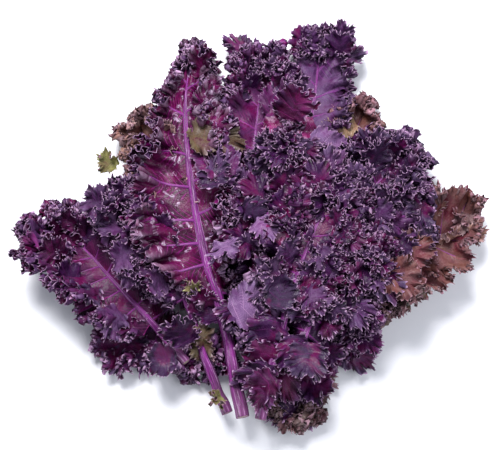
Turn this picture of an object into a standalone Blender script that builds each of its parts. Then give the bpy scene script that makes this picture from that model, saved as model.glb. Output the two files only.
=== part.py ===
"""A bunch of purple curly kale lying on a surface, as picked leaves with their cut stalks together.

Metres, +Z up. The origin is under the middle of the bunch, on the surface that it lies on.
Each leaf is two nodes: the stalk, a tapered rod from the cut end to the leaf's tip, and the blade,
one waved sheet that the stalk carries down its middle. The leaves are laid one after another,
so each rests on the leaves before it, as a real pile does.
"""

import math

import bpy
import numpy as np

# Driving dimensions of a leaf.
BLADE_THICKNESS = 0.0016
STALK_TIP_RADIUS = 0.0009
STALK_GAP = 0.0005  # between a blade and its own stalk
LEAF_GAP = 0.0010  # between one leaf and the next
RIB_SHELF = 0.0020  # level stretch of blade beyond the stalk, on each side
RIB_SLOPE = 0.45  # steepest rise of a midrib
PETIOLE_SLOPE = 0.30  # how fast a stalk comes down behind its blade
STALK_REACH = 0.90  # share of the midrib where the stalk ends inside the blade
MARGIN_WAVE = 0.0045  # height of the waves along a blade's margin
WAVES = 8  # waves around a blade's margin

# The leaf that the whole bunch rests on: its face is level for this far on each side of its midrib.
REST_SHELF = 0.016

# How finely a leaf is made.
MARGIN_COLUMNS = 28  # rays from the midrib to the margin, round both sides
RAY_SHARES = (0.42, 0.74, 1.0)  # rows of the blade beyond the level shelf
PETIOLE_POINTS = 5
TRIANGLE_SAMPLES = 6  # places tested for support along a triangle's side
SETTLE_ROUNDS = 24

# The height map of what has been laid so far.
BED_CELL = 0.0015
BED_HALF = 0.27

# The middle of the laid bunch's box, which becomes the origin.
MIDDLE = (-0.0031, 0.0104)

# The leaves in the order they are laid. path: the midrib seen from above, from the cut end to the tip.
# blade_from: share of the path where the blade starts. left, right: midrib to margin at six even steps
# from the blade's base to its tip, seen from the cut end. lift: how far the midrib arches up.
# cup: how far the margin stands above the midrib (negative droops). ribs_up: the leaf lies face down,
# so its stalk is on top. rest: the leaf that the bunch rests on.
LEAVES = {
    "under_centre": dict(
        path=[(0.004, -0.112), (0.000, -0.045), (0.002, 0.030), (0.006, 0.085)],
        left=(0.030, 0.044, 0.046, 0.040, 0.030, 0.014), right=(0.030, 0.044, 0.046, 0.040, 0.030, 0.014),
        blade_from=0.22, stalk=0.0040, lift=0.0, cup=0.004, ribs_up=True, rest=True),
    "back_left_bronze": dict(
        path=[(-0.062, -0.070), (-0.068, 0.000), (-0.084, 0.056), (-0.104, 0.092)],
        left=(0.020, 0.030, 0.034, 0.034, 0.028, 0.018), right=(0.020, 0.030, 0.034, 0.036, 0.030, 0.018),
        blade_from=0.34, stalk=0.0036, lift=0.021, cup=0.008, ribs_up=False),
    "back_right_bronze": dict(
        path=[(0.056, -0.066), (0.064, 0.000), (0.082, 0.066), (0.102, 0.114)],
        left=(0.020, 0.030, 0.034, 0.032, 0.026, 0.014), right=(0.020, 0.028, 0.030, 0.026, 0.022, 0.014),
        blade_from=0.30, stalk=0.0036, lift=0.008, cup=0.006, ribs_up=False),
    "far_right_bronze": dict(
        path=[(0.068, -0.082), (0.104, -0.050), (0.148, -0.018), (0.192, 0.008)],
        left=(0.030, 0.044, 0.052, 0.050, 0.034, 0.017), right=(0.030, 0.046, 0.044, 0.030, 0.022, 0.014),
        blade_from=0.25, stalk=0.0040, lift=0.021, cup=0.012, ribs_up=False),
    "left_low": dict(
        path=[(-0.054, -0.128), (-0.078, -0.104), (-0.102, -0.098), (-0.124, -0.106)],
        left=(0.016, 0.022, 0.026, 0.028, 0.022, 0.012), right=(0.020, 0.032, 0.036, 0.034, 0.026, 0.014),
        blade_from=0.28, stalk=0.0036, lift=0.006, cup=0.006, ribs_up=False),
    "lower_right_bronze": dict(
        path=[(0.050, -0.096), (0.080, -0.074), (0.108, -0.058), (0.132, -0.052)],
        left=(0.020, 0.030, 0.032, 0.030, 0.024, 0.012), right=(0.016, 0.022, 0.024, 0.024, 0.020, 0.012),
        blade_from=0.25, stalk=0.0034, lift=0.004, cup=0.006, ribs_up=False),
    "bottom_right": dict(
        path=[(0.033, -0.092), (0.033, -0.120), (0.035, -0.143), (0.040, -0.160)],
        left=(0.018, 0.026, 0.028, 0.026, 0.020, 0.010), right=(0.018, 0.028, 0.032, 0.028, 0.022, 0.010),
        blade_from=0.25, stalk=0.0030, lift=0.004, cup=0.006, ribs_up=False),
    "bottom_left": dict(
        path=[(-0.022, -0.098), (-0.036, -0.110), (-0.052, -0.116), (-0.068, -0.116)],
        left=(0.012, 0.015, 0.017, 0.016, 0.014, 0.009), right=(0.012, 0.018, 0.020, 0.018, 0.014, 0.009),
        blade_from=0.25, stalk=0.0026, lift=0.003, cup=0.004, ribs_up=False),
    "left_long": dict(
        path=[(-0.058, -0.118), (-0.090, -0.082), (-0.124, -0.046), (-0.150, -0.018), (-0.177, 0.003)],
        left=(0.024, 0.044, 0.058, 0.060, 0.044, 0.020), right=(0.024, 0.036, 0.038, 0.034, 0.026, 0.015),
        blade_from=0.26, stalk=0.0040, lift=0.025, cup=0.012, ribs_up=False),
    "top_right": dict(
        path=[(0.018, -0.098), (0.026, -0.010), (0.050, 0.090), (0.063, 0.183)],
        left=(0.024, 0.036, 0.038, 0.034, 0.030, 0.022), right=(0.024, 0.034, 0.040, 0.040, 0.036, 0.022),
        blade_from=0.42, stalk=0.0042, lift=0.021, cup=-0.004, ribs_up=True),
    "right_low": dict(
        path=[(0.034, -0.132), (0.054, -0.106), (0.076, -0.086), (0.096, -0.076)],
        left=(0.020, 0.034, 0.040, 0.038, 0.030, 0.014), right=(0.018, 0.026, 0.030, 0.028, 0.022, 0.012),
        blade_from=0.22, stalk=0.0036, lift=0.006, cup=0.006, ribs_up=False),
    "right_upper": dict(
        path=[(0.044, -0.076), (0.070, -0.020), (0.104, 0.032), (0.138, 0.066)],
        left=(0.026, 0.040, 0.044, 0.042, 0.034, 0.018), right=(0.026, 0.040, 0.044, 0.040, 0.030, 0.016),
        blade_from=0.34, stalk=0.0042, lift=0.029, cup=0.008, ribs_up=False),
    "top_middle": dict(
        path=[(-0.012, -0.092), (-0.008, -0.010), (0.002, 0.090), (0.010, 0.158)],
        left=(0.022, 0.032, 0.038, 0.040, 0.036, 0.020), right=(0.022, 0.034, 0.038, 0.038, 0.034, 0.020),
        blade_from=0.40, stalk=0.0040, lift=0.029, cup=0.008, ribs_up=False),
    "left_middle": dict(
        path=[(-0.023, -0.160), (-0.045, -0.106), (-0.061, -0.060), (-0.092, -0.018), (-0.122, 0.022)],
        left=(0.018, 0.030, 0.036, 0.036, 0.030, 0.016), right=(0.020, 0.034, 0.040, 0.038, 0.030, 0.018),
        blade_from=0.48, stalk=0.0048, lift=0.021, cup=0.006, ribs_up=False),
    "right_face_down": dict(
        path=[(0.044, -0.092), (0.062, -0.050), (0.088, -0.014), (0.122, 0.002), (0.144, 0.006)],
        left=(0.022, 0.036, 0.042, 0.040, 0.030, 0.016), right=(0.022, 0.034, 0.040, 0.038, 0.030, 0.016),
        blade_from=0.28, stalk=0.0038, lift=0.006, cup=-0.004, ribs_up=True),
    "centre_upper": dict(
        path=[(0.004, -0.104), (0.006, -0.040), (0.016, 0.026), (0.036, 0.074)],
        left=(0.022, 0.034, 0.038, 0.036, 0.030, 0.016), right=(0.022, 0.036, 0.042, 0.038, 0.030, 0.016),
        blade_from=0.30, stalk=0.0038, lift=0.025, cup=0.008, ribs_up=False),
    "centre_low": dict(
        path=[(0.026, -0.136), (0.046, -0.090), (0.074, -0.052), (0.108, -0.034)],
        left=(0.022, 0.036, 0.040, 0.038, 0.030, 0.016), right=(0.020, 0.032, 0.036, 0.034, 0.028, 0.014),
        blade_from=0.30, stalk=0.0038, lift=0.021, cup=0.006, ribs_up=False),
    "centre_right": dict(
        path=[(0.005, -0.166), (0.026, -0.080), (0.050, -0.012), (0.074, 0.038)],
        left=(0.024, 0.040, 0.044, 0.040, 0.032, 0.016), right=(0.024, 0.042, 0.048, 0.044, 0.034, 0.016),
        blade_from=0.40, stalk=0.0046, lift=0.029, cup=0.006, ribs_up=False),
    "top_left_long": dict(
        path=[(-0.010, -0.164), (-0.028, -0.075), (-0.043, -0.026), (-0.056, 0.046), (-0.061, 0.112),
              (-0.058, 0.171)],
        left=(0.024, 0.070, 0.062, 0.024, 0.020, 0.014), right=(0.018, 0.032, 0.036, 0.034, 0.030, 0.016),
        blade_from=0.30, stalk=0.0056, lift=0.029, cup=0.008, ribs_up=False),
    "centre_small": dict(
        path=[(-0.001, -0.124), (-0.005, -0.098), (-0.002, -0.074), (0.008, -0.050)],
        left=(0.012, 0.018, 0.020, 0.018, 0.014, 0.010), right=(0.014, 0.020, 0.022, 0.020, 0.016, 0.010),
        blade_from=0.30, stalk=0.0026, lift=0.002, cup=0.004, ribs_up=False),
}

COLOURS = {
    "purple": (0.085, 0.022, 0.090),
    "bronze": (0.200, 0.090, 0.060),
    "magenta": (0.300, 0.030, 0.260),
}


def clear_scene():
    for obj in list(bpy.data.objects):
        bpy.data.objects.remove(obj, do_unlink=True)


def material(name, colour, roughness):
    mat = bpy.data.materials.new(name)
    mat.use_nodes = True
    shader = mat.node_tree.nodes["Principled BSDF"]
    shader.inputs["Base Color"].default_value = (*colour, 1.0)
    shader.inputs["Roughness"].default_value = roughness
    shader.inputs["Metallic"].default_value = 0.0
    return mat


class Bed:
    """The height of everything laid so far, on a square grid seen from above."""

    def __init__(self):
        count = int(2 * BED_HALF / BED_CELL) + 1
        self.top = np.full((count, count), -LEAF_GAP)

    def cells(self, xy):
        return np.rint((xy + BED_HALF) / BED_CELL).astype(int)

    def around(self, xy, reach):
        """The grid cells within reach of each point, as (points, cells near it)."""
        steps = int(math.ceil(reach / BED_CELL))
        offsets = [
            (i, j)
            for i in range(-steps, steps + 1)
            for j in range(-steps, steps + 1)
            if math.hypot(i, j) <= steps + 0.5
        ]
        near = self.cells(xy)[:, None, :] + np.array(offsets)[None]
        return np.clip(near, 0, len(self.top) - 1)

    def support(self, xy, reach):
        near = self.around(xy, reach)
        return self.top[near[..., 0], near[..., 1]].max(1)

    def lay(self, xy, z, reach):
        near = self.around(xy, reach)
        heights = np.broadcast_to(z[:, None], near.shape[:2])
        np.maximum.at(self.top, (near[..., 0].ravel(), near[..., 1].ravel()), heights.ravel())


def smooth_path(points, shares):
    """Points at the given shares of length along a smooth curve through the listed points, and headings."""
    p = np.array(points, float)
    p = np.vstack([2 * p[0] - p[1], p, 2 * p[-1] - p[-2]])
    dense = []
    for k in range(1, len(p) - 2):
        t = np.linspace(0, 1, 40, endpoint=k == len(p) - 3)[:, None]
        a, b, c, d = p[k - 1], p[k], p[k + 1], p[k + 2]
        dense.append(
            0.5 * (2 * b + (c - a) * t + (2 * a - 5 * b + 4 * c - d) * t**2 + (3 * b - a - 3 * c + d) * t**3)
        )
    dense = np.vstack(dense)
    along = np.concatenate([[0], np.cumsum(np.linalg.norm(np.diff(dense, axis=0), axis=1))])
    along /= along[-1]
    xy = np.stack([np.interp(shares, along, dense[:, k]) for k in range(2)], axis=1)
    ahead = np.gradient(dense, axis=0)
    heading = np.interp(shares, along, np.unwrap(np.arctan2(ahead[:, 1], ahead[:, 0])))
    return xy, heading


def stalk_radius(leaf, share):
    return STALK_TIP_RADIUS + (leaf["stalk"] - STALK_TIP_RADIUS) * (1 - share) ** 1.25


def ray_plan(leaf, phase):
    """For each ray: its place round the margin, its share of the path, its turn from the midrib, its length."""
    a = np.arange(MARGIN_COLUMNS + 1) / MARGIN_COLUMNS
    u = 1 - np.abs(2 * a - 1)  # 0 at the blade's base, 1 at its tip
    side = np.where(a <= 0.5, 1.0, -1.0)
    share = leaf["blade_from"] + (1 - leaf["blade_from"]) * 0.94 * np.sin(u * math.pi / 2)
    turn = side * math.radians(94) * (1 - u) ** 0.75
    steps = np.linspace(0, 1, len(leaf["left"]))
    width = np.where(a <= 0.5, np.interp(u, steps, leaf["left"]), np.interp(u, steps, leaf["right"]))
    lobes = 1 + 0.09 * np.sin(2 * math.pi * 5 * a + phase) + 0.05 * np.sin(2 * math.pi * 9 * a + 2 * phase)
    return a, share, turn, width * lobes


def blade_plan(leaf, phase):
    """The blade seen from above: xy of each row and column, and the height each point would like."""
    a, share, turn, length = ray_plan(leaf, phase)
    rib, heading = smooth_path(leaf["path"], share)
    ray = np.stack([np.cos(heading + turn), np.sin(heading + turn)], axis=1)
    shelf = (stalk_radius(leaf, share) + RIB_SHELF) / np.maximum(np.abs(np.sin(turn)), 0.35)
    shelf = np.minimum(shelf, 0.4 * length)
    if leaf.get("rest"):
        shelf = np.minimum(REST_SHELF, 0.5 * length)
    reach = [np.zeros_like(length), shelf] + [shelf + (length - shelf) * r for r in RAY_SHARES]
    shares = np.array([0, 0, *RAY_SHARES])
    if leaf.get("rest"):
        shares[2] = 0
    xy = np.stack([rib + ray * r[:, None] for r in reach])
    arch = leaf["lift"] * np.sin(math.pi * share**1.2)
    wave = MARGIN_WAVE * np.sin(2 * math.pi * WAVES * a + phase)
    z = BLADE_THICKNESS / 2 + arch[None] + leaf["cup"] * shares[:, None] ** 1.6
    z = z + (wave[None] + MARGIN_WAVE) * shares[:, None] ** 2
    return xy, z, share


def blade_triangles(columns, rows):
    """Vertex (row, column) triples. Row 0 is the midrib, where both sides share their vertices."""

    def vertex(row, column):
        if row == 0:
            return min(column, columns - column)
        return columns // 2 + 1 + (row - 1) * (columns + 1) + column

    faces = []
    for row in range(rows - 1):
        for column in range(columns):
            corners = [
                vertex(row, column),
                vertex(row, column + 1),
                vertex(row + 1, column + 1),
                vertex(row + 1, column),
            ]
            faces.append((corners[0], corners[2], corners[1]))
            faces.append((corners[0], corners[3], corners[2]))
    return np.array(faces)


def as_vertices(grid):
    """A (row, column) grid as the vertex list that blade_triangles numbers."""
    columns = grid.shape[1] - 1
    first = grid[0, : columns // 2 + 1]
    return np.concatenate([first, grid[1:].reshape(-1, *grid.shape[2:])])


def triangle_shares():
    n = TRIANGLE_SAMPLES
    return np.array([(i / n, j / n, 1 - (i + j) / n) for i in range(n + 1) for j in range(n + 1 - i)])


def ease_slope(z, xy, slope):
    """Raises heights along a line until none of its stretches is steeper than the slope."""
    z = z.copy()
    drop = slope * np.linalg.norm(np.diff(xy, axis=0), axis=1)
    for k in range(1, len(z)):
        z[k] = max(z[k], z[k - 1] - drop[k - 1])
    for k in range(len(z) - 2, -1, -1):
        z[k] = max(z[k], z[k + 1] - drop[k])
    return z


def settle_blade(bed, xy, z, faces, rib_need):
    """Raises the blade off whatever lies under it and eases its bends. rib_need: height the stalk asks for."""
    columns = xy.shape[1] - 1
    half = columns // 2
    shares = triangle_shares()
    flat = as_vertices(xy)
    spots = np.einsum("sk,fkc->fsc", shares, flat[faces])
    count = spots.shape[:2]
    floor = bed.support(spots.reshape(-1, 2), BED_CELL).reshape(count)
    floor = floor + BLADE_THICKNESS / 2 + LEAF_GAP
    mirrored = np.minimum(np.arange(columns + 1), columns - np.arange(columns + 1))

    def level_rib(grid):
        rib = np.maximum(grid[0], np.maximum(grid[1], grid[1][::-1]))[: half + 1]
        rib = ease_slope(np.maximum(rib, rib_need), xy[0, : half + 1], RIB_SLOPE)
        grid[:2] = rib[mirrored]
        return grid

    def raised(grid):
        heights = as_vertices(grid)
        short = floor - heights[faces] @ shares.T
        rise = np.zeros(len(heights))
        np.maximum.at(rise, faces.ravel(), np.repeat(short.max(1).clip(0), 3))
        lifted = heights + rise
        grid = np.concatenate([lifted[mirrored][None], lifted[half + 1 :].reshape(-1, columns + 1)])
        return level_rib(grid)

    wanted = z
    z = raised(level_rib(z.copy()))
    for _ in range(SETTLE_ROUNDS):
        eased = z.copy()
        eased[:, 1:-1] += 0.25 * (z[:, :-2] + z[:, 2:] - 2 * z[:, 1:-1])
        eased[2:-1] += 0.25 * (z[1:-2] + z[3:] - 2 * z[2:-1])
        z = raised(np.minimum(z, 0.75 * eased + 0.25 * wanted))
    return z


def settle_stalk(bed, xy, radius):
    """Heights of a rod's points that clear what lies under every stretch of it."""
    z = radius.copy()
    for k in range(len(xy) - 1):
        t = np.linspace(0, 1, 9)[:, None]
        spots = xy[k] * (1 - t) + xy[k + 1] * t
        need = bed.support(spots, radius[k] + 0.001).max() + radius[k] + LEAF_GAP
        z[k : k + 2] = np.maximum(z[k : k + 2], need)
    return ease_slope(z, xy, RIB_SLOPE)


def blade_object(name, xy, z, faces, mat):
    """The blade as a closed sheet: its middle surface, thickened."""
    flat, height = as_vertices(xy), as_vertices(z)
    mesh = bpy.data.meshes.new(name)
    mesh.from_pydata([(x, y, h) for (x, y), h in zip(flat, height)], [], faces.tolist())
    obj = bpy.data.objects.new(name, mesh)
    obj.data.materials.append(mat)
    mesh.shade_smooth()
    thicken = obj.modifiers.new("thickness", "SOLIDIFY")
    thicken.thickness = BLADE_THICKNESS
    thicken.offset = 0.0
    return obj


def stalk_object(name, points, radius, mat):
    curve = bpy.data.curves.new(name, "CURVE")
    curve.dimensions = "3D"
    curve.bevel_depth = 1.0
    curve.bevel_resolution = 2
    curve.use_fill_caps = True
    spline = curve.splines.new("POLY")
    spline.points.add(len(points) - 1)
    for point, place, r in zip(spline.points, points, radius):
        point.co = (*place, 1.0)
        point.radius = r
    obj = bpy.data.objects.new(name, curve)
    obj.data.materials.append(mat)
    return obj


def lay_leaf(bed, name, leaf, phase, blade_mat, stalk_mat):
    """Builds one leaf on top of the bed and returns its two objects."""
    xy, z, share = blade_plan(leaf, phase)
    half = (xy.shape[1] - 1) // 2
    faces = blade_triangles(2 * half, len(xy))

    inside = np.arange(half + 1)[share[: half + 1] <= STALK_REACH]
    petiole = np.linspace(0, leaf["blade_from"], PETIOLE_POINTS, endpoint=False)
    stations = np.concatenate([petiole, share[inside]])
    rod_xy, _ = smooth_path(leaf["path"], stations)
    rod_r = stalk_radius(leaf, stations)
    slant = math.hypot(1, RIB_SLOPE)
    offset = (BLADE_THICKNESS / 2 + STALK_GAP + rod_r[PETIOLE_POINTS:]) * slant

    rod_z = settle_stalk(bed, rod_xy, rod_r)
    rib_need = np.zeros(half + 1)
    if not leaf["ribs_up"]:
        rib_need[inside] = rod_z[PETIOLE_POINTS:] + offset
    z = settle_blade(bed, xy, z, faces, rib_need)

    rod_z[PETIOLE_POINTS:] = z[0, inside] + (offset if leaf["ribs_up"] else -offset)
    fall = PETIOLE_SLOPE * np.linalg.norm(np.diff(rod_xy[: PETIOLE_POINTS + 1], axis=0), axis=1)
    if leaf["ribs_up"]:
        fall[-1] = 0
    for k in range(PETIOLE_POINTS - 1, -1, -1):  # the stalk comes down from the blade in an easy line
        rod_z[k] = max(rod_z[k], rod_z[k + 1] - fall[k])

    shares = triangle_shares()
    spots = np.einsum("sk,fkc->fsc", shares, as_vertices(xy)[faces]).reshape(-1, 2)
    tops = (as_vertices(z)[faces] @ shares.T).reshape(-1) + BLADE_THICKNESS / 2
    bed.lay(spots, tops, BED_CELL)
    t = np.linspace(0, 1, 9)[:, None]
    for k in range(len(rod_xy) - 1):
        line = rod_xy[k] * (1 - t) + rod_xy[k + 1] * t
        height = (rod_z[k] * (1 - t) + rod_z[k + 1] * t)[:, 0] + rod_r[k]
        bed.lay(line, height, rod_r[k] + 0.001)

    blade = blade_object(name + "_blade", xy, z, faces, blade_mat)
    stalk = stalk_object(name + "_stalk", np.column_stack([rod_xy, rod_z]), rod_r, stalk_mat)
    return blade, stalk


def main():
    clear_scene()
    bunch = bpy.data.collections.new("purple_kale_bunch")
    bpy.context.scene.collection.children.link(bunch)
    purple = material("kale_purple", COLOURS["purple"], 0.50)
    bronze = material("kale_bronze", COLOURS["bronze"], 0.50)
    magenta = material("kale_stalk", COLOURS["magenta"], 0.35)
    bed = Bed()
    for number, (name, leaf) in enumerate(LEAVES.items()):
        blade_mat = bronze if "bronze" in name else purple
        for obj in lay_leaf(bed, name, leaf, 2.4 * number, blade_mat, magenta):
            obj.location = (-MIDDLE[0], -MIDDLE[1], 0)
            bunch.objects.link(obj)
    print(f"{len(LEAVES)} leaves laid, {bed.top.max() * 1000:.0f} mm high")


main()
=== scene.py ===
import math

import bpy
import numpy as np
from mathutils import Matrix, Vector
from mathutils.bvhtree import BVHTree


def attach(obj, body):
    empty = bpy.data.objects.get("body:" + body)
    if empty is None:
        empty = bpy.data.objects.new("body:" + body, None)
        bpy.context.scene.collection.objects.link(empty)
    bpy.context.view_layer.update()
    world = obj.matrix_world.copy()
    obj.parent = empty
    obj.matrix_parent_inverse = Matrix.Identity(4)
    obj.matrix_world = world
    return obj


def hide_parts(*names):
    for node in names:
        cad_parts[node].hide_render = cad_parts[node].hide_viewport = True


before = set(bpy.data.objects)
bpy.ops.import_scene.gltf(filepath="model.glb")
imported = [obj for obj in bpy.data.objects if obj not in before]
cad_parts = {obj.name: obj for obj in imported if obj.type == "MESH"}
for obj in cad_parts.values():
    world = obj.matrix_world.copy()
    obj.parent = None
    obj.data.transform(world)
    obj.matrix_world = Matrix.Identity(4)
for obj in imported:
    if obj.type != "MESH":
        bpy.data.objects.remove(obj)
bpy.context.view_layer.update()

scene = bpy.context.scene

# Leaves are drawn in the layout's own coordinates, then moved so that the bunch is centred.
layoutMiddle = np.array([-0.0031, 0.0104])

# small maths helpers


def easeStep(x, low, high):
    k = np.clip((x - low) / (high - low), 0.0, 1.0)
    return k * k * (3 - 2 * k)


def unit(v):
    return v / (np.linalg.norm(v, axis=-1, keepdims=True) + 1e-12)


def lineNoise(x, seed, parts=5):
    # smooth noise along a line, about -1 to 1
    rng = np.random.default_rng(seed)
    total = np.zeros_like(x, dtype=float)
    for k in range(parts):
        pitch = (0.7 + 0.9 * k) * 2 * math.pi * rng.uniform(0.8, 1.2)
        total += np.sin(x * pitch + rng.uniform(0, 6.28)) / (1 + 0.5 * k)
    return total / 2.0


def fieldNoise(x, y, seed):
    # smooth noise over a plane with a unit lattice, -1 to 1
    lattice = np.random.default_rng(seed).uniform(-1, 1, (64, 64))
    xi, yi = np.floor(x).astype(int), np.floor(y).astype(int)
    fx, fy = x - xi, y - yi
    fx, fy = fx * fx * (3 - 2 * fx), fy * fy * (3 - 2 * fy)
    a, b = lattice[xi % 64, yi % 64], lattice[(xi + 1) % 64, yi % 64]
    c, d = lattice[xi % 64, (yi + 1) % 64], lattice[(xi + 1) % 64, (yi + 1) % 64]
    return (a * (1 - fx) + b * fx) * (1 - fy) + (c * (1 - fx) + d * fx) * fy


def lengthAlong(line):
    steps = np.linalg.norm(np.diff(line, axis=0), axis=1)
    return np.concatenate([[0], np.cumsum(steps)])


def pathAlong(points, shares):
    # points and headings at the given shares of length along a smooth curve through the points
    p = np.array(points, float)
    p = np.vstack([2 * p[0] - p[1], p, 2 * p[-1] - p[-2]])
    dense = []
    for k in range(1, len(p) - 2):
        t = np.linspace(0, 1, 40, endpoint=k == len(p) - 3)[:, None]
        a, b, c, d = p[k - 1], p[k], p[k + 1], p[k + 2]
        square, cube = 2 * a - 5 * b + 4 * c - d, 3 * b - a - 3 * c + d
        dense.append(0.5 * (2 * b + (c - a) * t + square * t**2 + cube * t**3))
    dense = np.vstack(dense)
    along = lengthAlong(dense)
    along = along / along[-1]
    xy = np.stack([np.interp(shares, along, dense[:, k]) for k in range(2)], axis=1)
    ahead = np.gradient(dense, axis=0)
    heading = np.interp(shares, along, np.unwrap(np.arctan2(ahead[:, 1], ahead[:, 0])))
    return xy, heading


def meshTree(node):
    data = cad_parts[node].data
    verts = [v.co.copy() for v in data.vertices]
    return BVHTree.FromPolygons(verts, [tuple(p.vertices) for p in data.polygons])


def midHeights(tree, xy):
    # height of the middle of a solid sheet or rod under each point, nan where there is none
    out = np.full(len(xy), np.nan)
    down, up = Vector((0, 0, -1)), Vector((0, 0, 1))
    for k, (x, y) in enumerate(xy):
        top = tree.ray_cast(Vector((x, y, 1)), down)[0]
        low = tree.ray_cast(Vector((x, y, -1)), up)[0]
        if top is not None and low is not None:
            out[k] = 0.5 * (top.z + low.z)
    return out


def blurred(grid, rounds, axis):
    for _ in range(rounds):
        ends = [(0, 0)] * grid.ndim
        ends[axis] = (1, 1)
        wide = np.pad(grid, ends, mode="edge")
        n = grid.shape[axis]
        grid = 0.25 * np.take(wide, range(n), axis) + 0.5 * grid + 0.25 * np.take(wide, range(2, n + 2), axis)
    return grid


# the leaf blade: rows from midrib to margin, and the share of the columns that each row keeps
bladeRows = dict(
    reach=np.array([0, 0.06, 0.13, 0.20, 0.27, 0.34, 0.41, 0.48, 0.55, 0.61, 0.66, 0.71, 0.755,
                    0.795, 0.83, 0.86, 0.885, 0.91, 0.93, 0.95, 0.965, 0.976, 0.985, 0.993, 1.0]),
    step=np.array([8] * 9 + [4] * 6 + [2] * 5 + [1] * 5))
lobeRows = dict(
    reach=np.array([0, 0.16, 0.32, 0.46, 0.58, 0.69, 0.78, 0.86, 0.92, 0.965, 1.0]),
    step=np.array([4] * 2 + [2] * 3 + [1] * 6))

# each wave is one size of ruffle: its length and height in metres, how far it leans over sideways, and
# the share of the way out from the midrib at which it starts; curl is how far the margin turns up, in radians
frillUsual = dict(
    waves=[dict(length=0.031, height=0.0078, lean=0.30, start=0.12),
           dict(length=0.0115, height=0.0038, lean=0.42, start=0.40),
           dict(length=0.0054, height=0.0015, lean=0.30, start=0.66)],
    curl=0.85, curlFrom=0.45, reach=0.93, lobes=13, lobeDepth=0.24, teeth=0.0034, toothGap=0.0046,
    quilt=0.0012)
calmFrill = dict(
    waves=[dict(length=0.038, height=0.0046, lean=0.20, start=0.20),
           dict(length=0.0150, height=0.0019, lean=0.25, start=0.55),
           dict(length=0.0065, height=0.0009, lean=0.2, start=0.75)],
    curl=0.35, lobeDepth=0.26, teeth=0.0040, toothGap=0.0052)
lobeFrill = dict(
    waves=[dict(length=0.0155, height=0.0032, lean=0.30, start=0.20),
           dict(length=0.0075, height=0.0015, lean=0.35, start=0.50)],
    teeth=0.0030, toothGap=0.0042, quilt=0.0007)
crestShares = (0.35, 0.40, 0.25)  # how much each size of ruffle counts as a ridge
toothEdge = 0.0016  # how far the painted edge glow runs back from a tooth, in metres
# frills that rise past soft are pressed down so that they stay under top; low ones stay over the floor
pileTop = dict(soft=0.050, top=0.0735, floorGap=0.0006)

bladeFan = dict(angle=math.radians(94), ease=0.75, tip=0.94)  # how the rays turn from sideways to ahead
lobeFan = dict(angle=math.radians(98), ease=0.8, tip=0.62)
heightGrid = dict(columns=97, rows=12, reach=0.94)  # where a solid blade's heights are read
bladeThick = dict(rib=0.0007, margin=0.0004)
lobesUsual = dict(size=0.022, span=(0.04, 0.96), reach=(0.08, 0.42), rise=(0.35, 1.15), flipped=0.35)
lobeUsual = dict(columns=168, full=1.0, flip=False, frill={})


def surfaceNormals(p):
    n = unit(np.cross(np.gradient(p, axis=1), np.gradient(p, axis=0)))
    n[0] = n[1]
    return n


def ruffled(p, wave, seed, reach):
    # one size of ruffle: up and down along the surface's normal, leaning over sideways
    n = surfaceNormals(p)
    n = unit(blurred(n, 2, 1))
    side = unit(np.gradient(p, axis=1))
    arc = lengthAlong(p[-5])
    phase = 2 * math.pi * arc / wave["length"]
    phase = phase + 1.3 * lineNoise(arc / wave["length"] / 4.0, seed)
    drift = 0.8 * lineNoise(arc / wave["length"] / 3.0, seed + 5)
    gain = 1 + 0.38 * lineNoise(arc / wave["length"] / 2.2, seed + 9)
    ramp = easeStep(reach, wave["start"], 1.04) ** 1.1
    bend = phase[None] + drift[None] * (1 - reach[:, None])
    size = wave["height"] * ramp[:, None] * gain[None]
    swing = np.sin(bend)
    moved = p + n * (size * swing)[..., None] - side * (wave["lean"] * size * np.sin(2 * bend))[..., None]
    return moved, swing * ramp[:, None]


def frilled(p, frill, seed, reach):
    # every size of ruffle in turn, then pointed teeth along the margin; crest is high on the ridges
    crest = np.zeros(p.shape[:2])
    for k, wave in enumerate(frill["waves"]):
        p, swing = ruffled(p, wave, seed + 10 * (k + 1), reach)
        crest += swing * crestShares[k]
    arc = lengthAlong(p[-1])
    toothPhase = arc / frill["toothGap"] + 0.5 * lineNoise(arc / 0.03, seed + 8)
    tooth = np.abs((toothPhase % 1) * 2 - 1)
    tooth = tooth ** 1.5 * (1 + 0.55 * lineNoise(arc / 0.013, seed + 18))
    ahead = unit(blurred(np.gradient(p, axis=0), 2, 1))
    grow = frill["teeth"] * (tooth - 0.35)
    p = p + ahead * (grow[None] * easeStep(reach, 0.80, 1.0)[:, None])[..., None]
    soft, top = pileTop["soft"], pileTop["top"]
    z = p[..., 2]
    z = np.where(z > soft, soft + (top - soft) * np.tanh((z - soft) / (top - soft)), z)
    low = pileTop["floorGap"] * (2 + np.sin(3700 * p[..., 0]))
    p[..., 2] = np.maximum(z, low)
    return p, crest, tooth


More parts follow.
